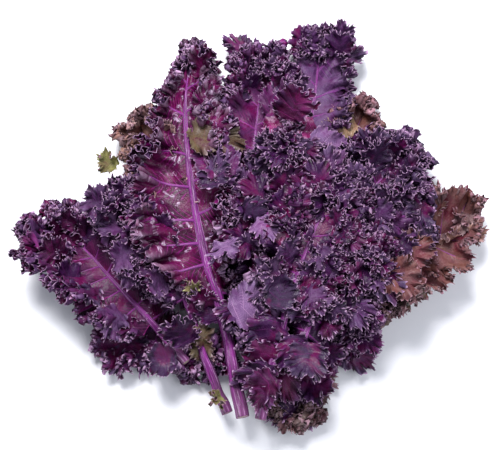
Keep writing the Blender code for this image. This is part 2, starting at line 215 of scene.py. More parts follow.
def bladeGrid(leaf, frill):
    # rays fan out from the midrib; the grid holds one column for each ray and one row for each reach
    seed, reach, columns = 100 * leaf["number"], bladeRows["reach"], leaf["columns"]
    a = np.arange(columns + 1) / columns
    u = 1 - np.abs(2 * a - 1)
    turned = np.where(a <= 0.5, 1.0, -1.0) * bladeFan["angle"] * (1 - u) ** bladeFan["ease"]
    share = leaf["bladeFrom"] + (1 - leaf["bladeFrom"]) * bladeFan["tip"] * np.sin(u * math.pi / 2)
    steps = np.linspace(0, 1, len(leaf["left"]))
    width = np.where(a <= 0.5, np.interp(u, steps, leaf["left"]), np.interp(u, steps, leaf["right"]))
    phase = 2.4 * leaf["number"]
    turn = 2 * math.pi * a
    width = width * (1 + 0.09 * np.sin(5 * turn + phase) + 0.05 * np.sin(9 * turn + 2 * phase))

    rib, heading = pathAlong(leaf["path"], share)
    ray = np.stack([np.cos(heading + turned), np.sin(heading + turned)], axis=1)

    # heights come from the solid blade, read on a coarse grid and eased
    coarse = np.linspace(0, columns, heightGrid["columns"]).astype(int)
    coarseReach = np.linspace(0.0, heightGrid["reach"], heightGrid["rows"])
    away = width[coarse][None, :, None] * coarseReach[:, None, None]
    spots = rib[coarse][None] + ray[coarse][None] * away
    tree = meshTree(leaf["node"] + "_blade")
    z = midHeights(tree, (spots - layoutMiddle).reshape(-1, 2)).reshape(spots.shape[:2])
    for row in z:
        known = ~np.isnan(row)
        row[:] = np.interp(np.arange(len(row)), np.nonzero(known)[0], row[known])
    z = blurred(blurred(z, 3, 1), 1, 0)
    fine = np.stack([np.interp(np.arange(columns + 1), coarse, row) for row in z])
    fine = blurred(fine, 12, 1)
    height = np.stack([np.interp(reach, coarseReach, fine[:, k]) for k in range(columns + 1)], axis=1)

    # lobes round the margin, with deep narrow bays between them
    arc = lengthAlong(rib + ray * width[:, None])
    lobePhase = math.pi * (arc / arc[-1] * frill["lobes"] + 0.45 * lineNoise(a * 3, seed + 1))
    lobe = 1 - frill["lobeDepth"] * (1 - np.abs(np.sin(lobePhase)) ** 0.55)
    lobe = lobe - 0.10 * (1 - np.abs(np.sin(3.3 * lobePhase + lineNoise(a * 5, seed + 11))) ** 0.6)
    lobe = lobe * (1 + 0.05 * lineNoise(a * 6, seed + 2))

    # each ray walks out from the rib and turns up near the margin
    turnUp = frill["curl"] * (0.75 + 0.55 * lineNoise(a * 4, seed + 3))
    length = width * frill["reach"]
    out = np.zeros((len(reach), columns + 1))
    lift = np.zeros_like(out)
    for r in range(1, len(reach)):
        step = (reach[r] - reach[r - 1]) * length
        step = step * (1 + (lobe - 1) * easeStep(reach[r], 0.3, 1.0) * 1.9)
        angle = turnUp * easeStep(reach[r], frill["curlFrom"], 1.0)
        out[r] = out[r - 1] + step * np.cos(angle)
        lift[r] = lift[r - 1] + step * np.sin(angle)
    xy = rib[None] + ray[None] * out[..., None]
    flat = rib[None] + ray[None] * (reach[:, None] * length[None])[..., None]
    p = np.concatenate([xy - layoutMiddle, (height + lift)[..., None]], axis=2)

    # the blade puffs up between its side veins
    veins = arc / arc[-1] * leaf["veins"] + 0.25 * lineNoise(a * 2, seed + 4)
    puff = np.abs(np.sin(math.pi * veins)) ** 0.7
    grain = fieldNoise(flat[..., 0] / 0.007, flat[..., 1] / 0.007, seed + 6)
    coarseGrain = fieldNoise(flat[..., 0] / 0.018, flat[..., 1] / 0.018, seed + 7)
    ramp = easeStep(reach, 0.03, 0.22)[:, None] * (1 - 0.6 * easeStep(reach, 0.6, 1.0))[:, None]
    p[..., 2] += ramp * (frill["quilt"] * (1.6 * puff[None] + 0.9 * grain) + 0.0022 * coarseGrain)
    p, crest, tooth = frilled(p, frill, seed, reach)
    toEdge = (1 - reach[:, None]) * length[None] + toothEdge * np.clip(0.75 - tooth[None], 0, 1)
    return dict(p=p, rows=bladeRows, flip=leaf["facedown"], a=a, share=share, veins=veins,
                flat=flat - layoutMiddle, crest=crest, toEdge=toEdge)


def lobeGrid(root, ahead, seed, shape):
    # a small lobe or leaflet: a fan of rays on its own short rib, bowed, cupped and ruffled
    rng = np.random.default_rng(seed)
    shape = dict(lobeUsual, **shape)
    size, columns, frill = shape["size"], shape["columns"], dict(lobeFrill, **shape["frill"])
    reach = lobeRows["reach"]
    a = np.arange(columns + 1) / columns
    u = 1 - np.abs(2 * a - 1)
    turned = np.where(a <= 0.5, 1.0, -1.0) * lobeFan["angle"] * (1 - u) ** lobeFan["ease"]
    along = size * (0.10 + lobeFan["tip"] * np.sin(u * math.pi / 2))
    bays = 1 - 0.26 * (1 - np.abs(np.sin(math.pi * (a * 7 + 0.3 * lineNoise(a * 3, seed + 1)))) ** 0.6)
    belly = shape["full"] * 0.44 * np.sin(math.pi * np.clip(u, 0, 1) ** 0.8) ** 0.8
    width = size * (0.16 + belly + 0.12 * u) * bays
    x = along[None] + np.cos(turned)[None] * width[None] * reach[:, None]
    y = np.sin(turned)[None] * width[None] * reach[:, None]
    bow = shape.get("bow", rng.uniform(-0.9, 0.5))
    cup = shape.get("cup", rng.uniform(-0.5, 0.9))
    z = bow * x**2 / size + cup * y**2 / size + 0.0018 * fieldNoise(x / 0.010 + 9, y / 0.010 + 9, seed + 2)
    z += frill["quilt"] * fieldNoise(x / 0.005, y / 0.005, seed + 3)
    forward = unit(np.array(ahead, float))
    side = unit(np.cross([0, 0, 1.0], forward))
    roll = shape.get("roll", rng.uniform(-0.6, 0.6))
    over = np.cross(forward, side)
    c, s = math.cos(roll), math.sin(roll)
    side, over = side * c + over * s, over * c - side * s
    p = np.array(root) + x[..., None] * forward + y[..., None] * side + z[..., None] * over
    p, crest, tooth = frilled(p, frill, seed, reach)
    veins = a * 9.0 + 0.5
    flat = np.stack([x, y], -1) + rng.uniform(-1, 1, 2)
    toEdge = (1 - reach[:, None]) * width[None] + toothEdge * np.clip(0.75 - tooth[None], 0, 1)
    return dict(p=p, rows=lobeRows, flip=shape["flip"], skin=shape["skin"], a=a, veins=veins,
                flat=flat, crest=crest, toEdge=toEdge)


def lobesOver(leaf, grid):
    # side lobes stand along the veins; those by the tip point back so that they stay inside the leaf
    if not leaf["lobes"]:
        return []
    plan = dict(lobesUsual, **leaf["lobes"])
    p = grid["p"]
    columns = p.shape[1] - 1
    n = surfaceNormals(p)
    rng = np.random.default_rng(4000 + leaf["number"])
    low, high = plan["span"]
    mixed = plan.get("skins", (leaf["skin"], leaf["skin"], "purple", "blue"))
    made = []
    for k in range(plan["count"]):
        place = low + (k + 0.5 + rng.uniform(-0.3, 0.3)) / plan["count"] * (high - low)
        column = int(place * columns)
        row = int(np.searchsorted(grid["rows"]["reach"], rng.uniform(*plan["reach"])))
        root = p[row, column] - 0.0008 * n[4, column]
        outward = unit(p[min(row + 4, 12), column] - p[0, column])
        if abs(place - 0.5) < 0.13:
            outward = -outward
        twist = rng.uniform(-0.6, 0.6)
        c, s = math.cos(twist), math.sin(twist)
        climb = math.tan(rng.uniform(*plan["rise"]))
        ahead = (outward[0] * c - outward[1] * s, outward[0] * s + outward[1] * c, climb)
        size = plan["size"] * rng.uniform(0.75, 1.25)
        flip = rng.random() < plan["flipped"]
        shape = dict(size=size, flip=flip, skin=mixed[rng.integers(len(mixed))])
        made.append(lobeGrid(root, ahead, 7000 + 100 * leaf["number"] + k, shape))
    return made


def stitchedTriangles(columns, rows):
    # triangles between rows, where a row may hold twice as many points as the one inside it
    total = columns + 1
    tris = []
    for r in range(len(rows["reach"]) - 1):
        inner, outer = rows["step"][r], rows["step"][r + 1]
        i0 = np.arange(0, columns, inner)
        i1 = i0 + inner
        lo, hi = r * total, (r + 1) * total
        if inner == outer:
            tris.append(np.stack([lo + i0, lo + i1, hi + i1], 1))
            tris.append(np.stack([lo + i0, hi + i1, hi + i0], 1))
        else:
            mid = i0 + outer
            tris.append(np.stack([lo + i0, hi + mid, hi + i0], 1))
            tris.append(np.stack([lo + i0, lo + i1, hi + mid], 1))
            tris.append(np.stack([lo + i1, hi + i1, hi + mid], 1))
    return np.vstack(tris)


def blankMesh(name, verts, tris):
    mesh = bpy.data.meshes.new(name)
    mesh.vertices.add(len(verts))
    mesh.vertices.foreach_set("co", verts.astype(np.float32).ravel())
    mesh.loops.add(tris.size)
    mesh.loops.foreach_set("vertex_index", tris.astype(np.int32).ravel())
    mesh.polygons.add(len(tris))
    mesh.polygons.foreach_set("loop_start", np.arange(0, tris.size, 3, dtype=np.int32))
    mesh.polygons.foreach_set("loop_total", np.full(len(tris), 3, np.int32))
    mesh.polygons.foreach_set("use_smooth", np.ones(len(tris), bool))
    return mesh


def addUv(mesh, name, uv):
    layer = mesh.uv_layers.new(name=name)
    layer.data.foreach_set("uv", uv.astype(np.float32).ravel())


def placed(mesh, name, materials, node):
    obj = bpy.data.objects.new(name, mesh)
    scene.collection.objects.link(obj)
    for m in materials:
        mesh.materials.append(m)
    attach(obj, "root")
    if node:
        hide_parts(node)
    return obj


def shellOf(grid, upperRect, lowerRect):
    # a thin closed shell round one grid: points, triangles, corner maps and the side each face shows
    p, reach = grid["p"], grid["rows"]["reach"]
    rows, total = p.shape[:2]
    columns = total - 1
    half = columns // 2
    n = unit(blurred(surfaceNormals(p), 1, 1))
    thick = (bladeThick["rib"] + (bladeThick["margin"] - bladeThick["rib"]) * reach)[:, None, None]
    upper, lower = p + n * thick / 2, p - n * thick / 2

    tris = stitchedTriangles(columns, grid["rows"])
    size = rows * total
    # the outline: up the first column, round the margin, back down the last column
    edge = np.concatenate([np.arange(rows) * total, (rows - 1) * total + np.arange(1, total),
                           (np.arange(rows - 2, -1, -1)) * total + columns])
    rim = np.vstack([np.stack([edge[:-1], edge[:-1] + size, edge[1:] + size], 1),
                     np.stack([edge[:-1], edge[1:] + size, edge[1:]], 1)])
    faces = np.vstack([tris, tris[:, ::-1] + size, rim])
    side = np.zeros(len(faces), np.int32)
    side[len(tris):] = 1
    if grid["flip"]:
        side = 1 - side

    # the two halves share the points of the midrib
    weld = np.arange(2 * size)
    right = np.arange(half + 1, total)
    weld[right] = columns - right
    weld[size + right] = size + columns - right
    mapped = weld[faces]
    whole = (mapped[:, 0] != mapped[:, 1]) & (mapped[:, 1] != mapped[:, 2]) & (mapped[:, 0] != mapped[:, 2])
    faces, mapped = faces[whole], mapped[whole]
    used, packed = np.unique(mapped, return_inverse=True)
    verts = np.concatenate([upper.reshape(-1, 3), lower.reshape(-1, 3)])[used]

    spread = np.broadcast_to(grid["a"][None], (rows, total))
    grown = np.broadcast_to(reach[:, None], (rows, total))
    sheets = []
    for x, y, w, h in (upperRect, lowerRect):
        sheets.append(np.stack([x + w * spread, y + h * grown], -1).reshape(-1, 2))
    veined = np.stack([np.broadcast_to(grid["veins"][None], (rows, total)), grown], -1).reshape(-1, 2)
    flat = grid["flat"].reshape(-1, 2)
    edgeWay = np.clip(grid["toEdge"] / 0.01, 0, 1)
    # the crest drives the painted highlight on ruffle tops and the painted shade in their low parts; the way
    # to the edge drives the painted edge glow
    # a ridge seen from above is a hollow from below
    ruffle = [np.stack([0.5 + 0.5 * way * grid["crest"], edgeWay], -1).reshape(-1, 2) for way in (1, -1)]
    corners = faces.ravel()
    return dict(
        verts=verts, faces=packed.reshape(-1, 3), side=side[whole], bake=np.concatenate(sheets)[corners],
        vein=np.concatenate([veined, veined])[corners], flat=np.concatenate([flat, flat])[corners],
        ruffle=np.concatenate(ruffle)[corners])


cornerMaps = dict(bake="OFBake", vein="veinMap", flat="flatMap", ruffle="ruffleMap")


def joined(shells, name):
    starts = np.cumsum([0] + [len(shell["verts"]) for shell in shells[:-1]])
    verts = np.vstack([shell["verts"] for shell in shells])
    faces = np.vstack([shell["faces"] + start for shell, start in zip(shells, starts)])
    mesh = blankMesh(name, verts, faces)
    for key, uvName in cornerMaps.items():
        addUv(mesh, uvName, np.vstack([shell[key] for shell in shells]))
    mesh.polygons.foreach_set("material_index", np.concatenate([shell["side"] for shell in shells]))
    mesh.validate()
    return mesh


def bladePiece(leaf, grid, materials):
    shell = shellOf(grid, (0.01, 0.005, 0.98, 0.485), (0.01, 0.505, 0.98, 0.485))
    mesh = joined([shell], leaf["node"] + "_frilled")
    return placed(mesh, leaf["node"] + "_frilled_blade", materials, leaf["node"] + "_blade")


def lobesPiece(name, grids):
    # the lobes lie in a chequer of small sheets, upper and under side by side
    across = math.ceil(math.sqrt(len(grids)))
    w, h = 1.0 / across, 1.0 / math.ceil(len(grids) / across)
    used = sorted({grid["skin"] for grid in grids})
    shells = []
    for k, grid in enumerate(grids):
        x, y = (k % across) * w + 0.004, (k // across) * h + 0.004
        shell = shellOf(grid, (x, y, w / 2 - 0.006, h - 0.008), (x + w / 2, y, w / 2 - 0.006, h - 0.008))
        shell["side"] = shell["side"] + 2 * used.index(grid["skin"])
        shells.append(shell)
    mesh = joined(shells, name)
    return placed(mesh, name, [side for skin in used for side in skins[skin]], None)


# stalks, midribs and side veins

stalkShape = dict(stations=130, sides=22, end=0.985, tip=0.0007)
veinShape = dict(stations=30, sides=7, reach=0.74, atTip=0.0006, atBase=0.0014, flatness=0.8)


def tubeRings(centre, radius, sides, up, profile):
    ahead = unit(np.gradient(centre, axis=0))
    across = unit(np.cross(ahead, up))
    over = unit(np.cross(across, ahead))
    angle = 2 * math.pi * np.arange(sides) / sides
    r = radius[:, None] * profile(angle[None], np.linspace(0, 1, len(centre))[:, None])
    ring = across[:, None] * (np.cos(angle)[None, :, None] * r[..., None])
    ring = ring + over[:, None] * (np.sin(angle)[None, :, None] * r[..., None])
    return centre[:, None] + ring


def tubeMesh(centre, radius, sides, profile, flatness=1.0):
    # a closed tapered tube with a dished cut at its start: points, triangles, and the values
    # of each point: way along, way round, and whether it lies on the cut
    rings = tubeRings(centre, radius, sides, np.array([0, 0, 1.0]), profile)
    rings[..., 2] = centre[:, None, 2] + (rings[..., 2] - centre[:, None, 2]) * flatness
    count = len(centre)
    verts = [rings.reshape(-1, 3)]
    along, around = lengthAlong(centre), np.arange(sides) / sides
    info = [np.stack([np.repeat(along, sides), np.tile(around, count), np.zeros(count * sides)], 1)]
    k, j = np.meshgrid(np.arange(count - 1), np.arange(sides), indexing="ij")
    a, b = k * sides + j, k * sides + (j + 1) % sides
    halves = ([a, b, b + sides], [a, b + sides, a + sides])
    tris = [np.stack(corners, -1).reshape(-1, 3) for corners in halves]
    # cut end: smaller rings, the last one a point
    back = unit(centre[0] - centre[1])
    base = count * sides
    previous = np.arange(sides)
    nxt = np.roll(np.arange(sides), -1)
    for size, depth in ((0.93, 0.0006), (0.70, 0.0002), (0.35, -0.0004)):
        verts.append(centre[0] + (rings[0] - centre[0]) * size + back * depth)
        info.append(np.stack([np.full(sides, size), around, np.ones(sides)], 1))
        ring = base + np.arange(sides)
        tris.append(np.stack([previous, ring, ring[nxt]], 1))
        tris.append(np.stack([previous, ring[nxt], previous[nxt]], 1))
        previous, base = ring, base + sides
    verts.append((centre[0] - back * 0.0006)[None])
    info.append(np.array([[0, 0, 1.0]]))
    tris.append(np.stack([previous, np.full(sides, base), np.roll(previous, -1)], 1))
    tip = base + 1
    verts.append((centre[-1] + unit(centre[-1] - centre[-2]) * radius[-1])[None])
    info.append(np.array([[along[-1], 0, 0.0]]))
    last = (count - 1) * sides + np.arange(sides)
    tris.append(np.stack([last, np.roll(last, -1), np.full(sides, tip)], 1))
    return np.vstack(verts), np.vstack(tris), np.vstack(info)


def stalkPiece(leaf, grid, material):
    p = grid["p"]
    columns = p.shape[1] - 1
    half = columns // 2
    share = grid["share"][: half + 1]
    stations = np.linspace(0, stalkShape["end"], stalkShape["stations"])
    xy = pathAlong(leaf["path"], stations)[0] - layoutMiddle
    radius = stalkShape["tip"] + (leaf["stalk"] - stalkShape["tip"]) * (1 - stations) ** leaf["taper"]

    rod = midHeights(meshTree(leaf["node"] + "_stalk"), xy)
    known = ~np.isnan(rod)
    rod = np.interp(stations, stations[known], rod[known])
    sheet = np.interp(stations, share, p[0, : half + 1, 2])
    side = 0.35 if leaf["facedown"] else -0.30  # a midrib stands out on the under side
    joins = easeStep(stations, leaf["bladeFrom"] - 0.10, leaf["bladeFrom"] + 0.015)
    z = rod * (1 - joins) + (sheet + side * radius) * joins
    z = blurred(z, 6, 0)
    centre = np.column_stack([xy, np.maximum(z, radius * 0.95 + 0.0002)])
    seeds = (7 + leaf["number"], 8 + leaf["number"])
    wobble = 0.0006 * np.stack([lineNoise(stations * 3, seed) for seed in seeds], 1)
    centre[:, :2] += wobble * (1 - joins)[:, None]

    def ribbed(angle, s):
        wide = 1 + 0.16 * np.cos(angle) ** 2 * easeStep(s, 0.1, 0.4)
        groove = 0.10 * np.exp(-((angle - math.pi / 2) / 0.35) ** 2)
        ridges = 0.022 * np.cos(9 * angle + 1.5 * np.sin(5 * s)) + 0.012 * np.cos(17 * angle)
        knobs = 0.07 * np.sin(31 * s + 2 * angle) * np.sin(13 * s + 1) + 0.03 * np.sin(67 * s - angle)
        return wide - groove + ridges + knobs

    def plain(angle, s):
        return np.ones(np.broadcast(angle, s).shape)

    parts = [tubeMesh(centre, radius, stalkShape["sides"], ribbed)]

    # side veins run out along the blade, thinning towards the margin
    veins = grid["veins"]
    stop = int(len(bladeRows["reach"]) * veinShape["reach"])
    even = np.linspace(0, stop - 1, veinShape["stations"])
    for number in range(int(math.ceil(veins.min())), int(veins.max()) + 1):
        column = int(np.argmin(np.abs(veins - number)))
        if column < 4 or column > columns - 4 or abs(column - half) < columns * 0.015:
            continue
        line = np.stack([np.interp(even, np.arange(stop), p[:stop, column, k]) for k in range(3)], 1)
        line = blurred(line, 2, 0)
        size = np.interp(abs(column - half) / half, [0, 1], [veinShape["atTip"], veinShape["atBase"]])
        taper = size * leaf["veinSize"] * (1 - np.linspace(0, 0.82, veinShape["stations"]))
        verts, tris, info = tubeMesh(line, taper, veinShape["sides"], plain, veinShape["flatness"])
        info[:, 0] += 0.3  # clear of the greenish start of the stalk
        info[:, 2] = 0
        parts.append((verts, tris, info))

    starts = np.cumsum([0] + [len(part[0]) for part in parts[:-1]])
    verts = np.vstack([part[0] for part in parts])
    tris = np.vstack([part[1] + start for part, start in zip(parts, starts)])
    info = np.vstack([part[2] for part in parts])
    verts[:, 2] = np.maximum(verts[:, 2], 0.0003)
    mesh = blankMesh(leaf["node"] + "_ribs", verts, tris)
    addUv(mesh, "stalkMap", info[tris.ravel(), :2])
    cut = mesh.attributes.new("cutEnd", "FLOAT", "POINT")
    cut.data.foreach_set("value", info[:, 2].astype(np.float32))
    mesh.validate()
    node = leaf["node"]
    placed(mesh, node + "_ribs_and_stalk", [material], node + "_stalk")


# shader helpers


def nodeGroup(name, inputs, outputs):
    group = bpy.data.node_groups.new(name, "ShaderNodeTree")
    for label, kind, default in inputs:
        socket = group.interface.new_socket(label, in_out="INPUT", socket_type=kind)
        if default is not None:
            socket.default_value = default
    for label, kind in outputs:
        group.interface.new_socket(label, in_out="OUTPUT", socket_type=kind)
    start = group.nodes.new("NodeGroupInput")
    end = group.nodes.new("NodeGroupOutput")
    return group, start.outputs, end.inputs


def feed(tree, socket, value):
    # a number or a colour is set on the socket, anything else is linked to it
    if isinstance(value, tuple):
        socket.default_value = (*value, 1.0)
    elif isinstance(value, (int, float)):
        socket.default_value = value
    else:
        tree.links.new(value, socket)


def mathNode(tree, kind, *values):
    node = tree.nodes.new("ShaderNodeMath")
    node.operation = kind
    for socket, value in zip(node.inputs, values):
        feed(tree, socket, value)
    return node.outputs[0]


def times(tree, a, b):
    return mathNode(tree, "MULTIPLY", a, b)


def plus(tree, a, b):
    return mathNode(tree, "ADD", a, b)


def minus(tree, a, b):
    return mathNode(tree, "SUBTRACT", a, b)


def rangeNode(tree, value, low, high, outLow=0.0, outHigh=1.0, smooth=True):
    node = tree.nodes.new("ShaderNodeMapRange")
    node.interpolation_type = "SMOOTHSTEP" if smooth else "LINEAR"
    for socket, fed in zip(node.inputs, (value, low, high, outLow, outHigh)):
        feed(tree, socket, fed)
    return node.outputs[0]


def noiseNode(tree, coords, scale, detail=3.0, rough=0.55, warp=0.0):
    node = tree.nodes.new("ShaderNodeTexNoise")
    settings = dict(Vector=coords, Scale=scale, Detail=detail, Roughness=rough, Distortion=warp)
    for label, value in settings.items():
        feed(tree, node.inputs[label], value)
    return node.outputs["Fac"]


def mixColour(tree, fac, a, b):
    node = tree.nodes.new("ShaderNodeMix")
    node.data_type = "RGBA"
    for k, value in ((0, fac), (6, a), (7, b)):  # a mix node keeps its colour sockets at 6 and 7
        feed(tree, node.inputs[k], value)
    return node.outputs[2]


def buildVeinGroup():
    # side veins at whole numbers of Across, branches leaving them like a fishbone, and a fine net
    group, given, made = nodeGroup(
        "leafVeins",
        [("Across", "NodeSocketFloat", 0.0), ("Reach", "NodeSocketFloat", 0.0),
         ("Flat", "NodeSocketVector", None), ("Width", "NodeSocketFloat", 0.05),
         ("Net Scale", "NodeSocketFloat", 260.0)],
        [(label, "NodeSocketFloat") for label in ("Main", "Branches", "Net", "Height")])
    wander = noiseNode(group, given["Flat"], 90.0, 2.0)
    wander = times(group, minus(group, wander, 0.5), 0.16)
    across = plus(group, given["Across"], wander)
    offset = minus(group, across, mathNode(group, "ROUND", across))
    away = mathNode(group, "ABSOLUTE", offset)
    thin = rangeNode(group, given["Reach"], 0.0, 1.0, 1.0, 0.22, False)
    half = times(group, given["Width"], thin)
    main = rangeNode(group, away, times(group, half, 0.5), times(group, half, 1.5), 1.0, 0.0)
    # branches leave each side vein at a slant, nine along its length
    slant = minus(group, times(group, given["Reach"], 9.0), times(group, away, 5.0))
    slant = plus(group, slant, times(group, wander, 7.0))
    branchAway = mathNode(group, "ABSOLUTE", minus(group, slant, mathNode(group, "ROUND", slant)))
    branch = rangeNode(group, branchAway, 0.035, 0.12, 1.0, 0.0)
    branch = times(group, branch, rangeNode(group, away, 0.5, 0.25, 0.15, 1.0))
    cells = group.nodes.new("ShaderNodeTexVoronoi")
    cells.feature = "DISTANCE_TO_EDGE"
    group.links.new(given["Flat"], cells.inputs["Vector"])
    group.links.new(given["Net Scale"], cells.inputs["Scale"])
    net = rangeNode(group, cells.outputs["Distance"], 0.02, 0.14, 1.0, 0.0)
    height = plus(group, main, times(group, branch, 0.5))
    height = plus(group, height, times(group, net, 0.25))
    for label, value in (("Main", main), ("Branches", branch), ("Net", net), ("Height", height)):
        group.links.new(value, made[label])
    return group


def buildBloomGroup():
    # the dusty wax of a fresh leaf: broad cloudy patches broken up by fine specks
    group, given, made = nodeGroup(
        "waxBloom",
        [("Flat", "NodeSocketVector", None), ("Scale", "NodeSocketFloat", 55.0),
         ("Amount", "NodeSocketFloat", 0.5), ("From", "NodeSocketFloat", 0.42)],
        [("Mask", "NodeSocketFloat"), ("Speckle", "NodeSocketFloat")])
    upTo = plus(group, given["From"], 0.11)
    cloudNoise = noiseNode(group, given["Flat"], given["Scale"], 6.0, 0.68, 0.8)
    cloud = rangeNode(group, cloudNoise, given["From"], upTo)
    fine = noiseNode(group, given["Flat"], 900.0, 3.0, 0.7)
    mask = times(group, cloud, rangeNode(group, fine, 0.3, 0.75, 0.5, 1.0))
    group.links.new(times(group, mask, given["Amount"]), made["Mask"])
    group.links.new(fine, made["Speckle"])
    return group


veinGroup = buildVeinGroup()
bloomGroup = buildBloomGroup()


def uvNode(tree, name):
    node = tree.nodes.new("ShaderNodeUVMap")
    node.uv_map = name
    return node.outputs[0]


# noise scales of a skin in cells for each metre, and the depth of its relief in metres
skinGrain = dict(patch=26.0, flush=48.0, blotch=170.0, net=240.0, rim=400.0, pucker=420.0, pores=1500.0,
                 relief=0.0006)


def skinMaterial(name, look):
    # one side of a leaf; look holds its colours and amounts
    mat = bpy.data.materials.new(name)
    mat.use_nodes = True
    tree = mat.node_tree
    shader = tree.nodes["Principled BSDF"]
    flat = uvNode(tree, "flatMap")
    split = tree.nodes.new("ShaderNodeSeparateXYZ")
    tree.links.new(uvNode(tree, "veinMap"), split.inputs[0])
    across, reach = split.outputs[0], split.outputs[1]

    veins = tree.nodes.new("ShaderNodeGroup")
    veins.node_tree = veinGroup
    tree.links.new(across, veins.inputs["Across"])
    tree.links.new(reach, veins.inputs["Reach"])
    tree.links.new(flat, veins.inputs["Flat"])
    veins.inputs["Width"].default_value = look["veinWidth"]
    veins.inputs["Net Scale"].default_value = skinGrain["net"]
    bloom = tree.nodes.new("ShaderNodeGroup")
    bloom.node_tree = bloomGroup
    tree.links.new(flat, bloom.inputs["Flat"])
    bloom.inputs["Scale"].default_value = look.get("bloomScale", 60.0)
    bloom.inputs["From"].default_value = look.get("bloomFrom", 0.42)
    bloom.inputs["Amount"].default_value = look["bloom"]

    ruffle = tree.nodes.new("ShaderNodeSeparateXYZ")
    tree.links.new(uvNode(tree, "ruffleMap"), ruffle.inputs[0])
    crest, toEdge = ruffle.outputs[0], ruffle.outputs[1]

    patch = rangeNode(tree, noiseNode(tree, flat, skinGrain["patch"], 3.0, 0.6, 0.3), 0.36, 0.64)
    blotch = rangeNode(tree, noiseNode(tree, flat, skinGrain["blotch"], 4.0, 0.65), 0.35, 0.7)
    colour = mixColour(tree, patch, look["deep"], look["second"])
    flushNoise = noiseNode(tree, flat, skinGrain["flush"], 3.0, 0.6, 0.5)
    flush = rangeNode(tree, flushNoise, look["flushFrom"], look["flushFrom"] + 0.14)
    colour = mixColour(tree, times(tree, flush, 0.9), colour, look["flush"])
    colour = mixColour(tree, times(tree, blotch, 0.35), colour, look["lit"])
    net = times(tree, veins.outputs["Net"], look["netShow"])
    colour = mixColour(tree, net, colour, look["lit"])
    branch = times(tree, veins.outputs["Branches"], look["branchShow"])
    fade = rangeNode(tree, reach, 0.95, 0.45, 0.0, 1.0)
    colour = mixColour(tree, times(tree, branch, fade), colour, look["vein"])
    colour = mixColour(tree, times(tree, veins.outputs["Main"], look["mainShow"]), colour, look["vein"])
    colour = mixColour(tree, bloom.outputs["Mask"], colour, look["waxAndRidgeHighlight"])
    # painted highlight: the tops of the ruffles are lightened towards the wax colour, broken into fine specks
    ridgeHighlight = rangeNode(tree, crest, 0.52, 0.86, 0.0, look["ridgeHighlightShow"])
    highlightSpeckle = rangeNode(tree, bloom.outputs["Speckle"], 0.3, 0.7, 0.4, 1.0)
    colour = mixColour(tree, times(tree, ridgeHighlight, highlightSpeckle), colour, look["waxAndRidgeHighlight"])
    # painted shade: the low parts of the ruffles are darkened towards the hollow colour
    valleyShade = rangeNode(tree, crest, 0.48, 0.20, 0.0, 0.85)
    colour = mixColour(tree, valleyShade, colour, look["hollowShade"])
    # painted glow: a pale band along the thin margin, its inner edge broken by noise, stands in for light
    # shining through the edge
    rimNoise = noiseNode(tree, flat, skinGrain["rim"], 2.0)
    brokenEdge = plus(tree, toEdge, times(tree, rimNoise, 0.12))
    rim = rangeNode(tree, brokenEdge, 0.06, 0.19, 1.0, 0.0)
    colour = mixColour(tree, times(tree, rim, look["rimGlowShow"]), colour, look["rim"])
    tree.links.new(colour, shader.inputs["Base Color"])

    rough = rangeNode(tree, bloom.outputs["Speckle"], 0.3, 0.7, look["rough"] - 0.08, look["rough"] + 0.10)
    tree.links.new(rough, shader.inputs["Roughness"])
    shader.inputs["Specular IOR Level"].default_value = look["gloss"]
    pores = noiseNode(tree, flat, skinGrain["pores"], 2.0)
    height = plus(tree, veins.outputs["Height"], times(tree, pores, 0.35))
    pucker = noiseNode(tree, flat, skinGrain["pucker"], 3.0)
    height = plus(tree, height, times(tree, pucker, 0.8))
    bump = tree.nodes.new("ShaderNodeBump")
    bump.inputs["Strength"].default_value = look["bump"]
    bump.inputs["Distance"].default_value = skinGrain["relief"]
    tree.links.new(height, bump.inputs["Height"])
    tree.links.new(bump.outputs[0], shader.inputs["Normal"])
    return mat


# a stalk's noises: how the map is stretched, and their scales on it
stalkGrain = dict(stretch=(9.0, 5.5, 1.0), streak=3.0, fleck=4.5, blotch=45.0, relief=0.0006)


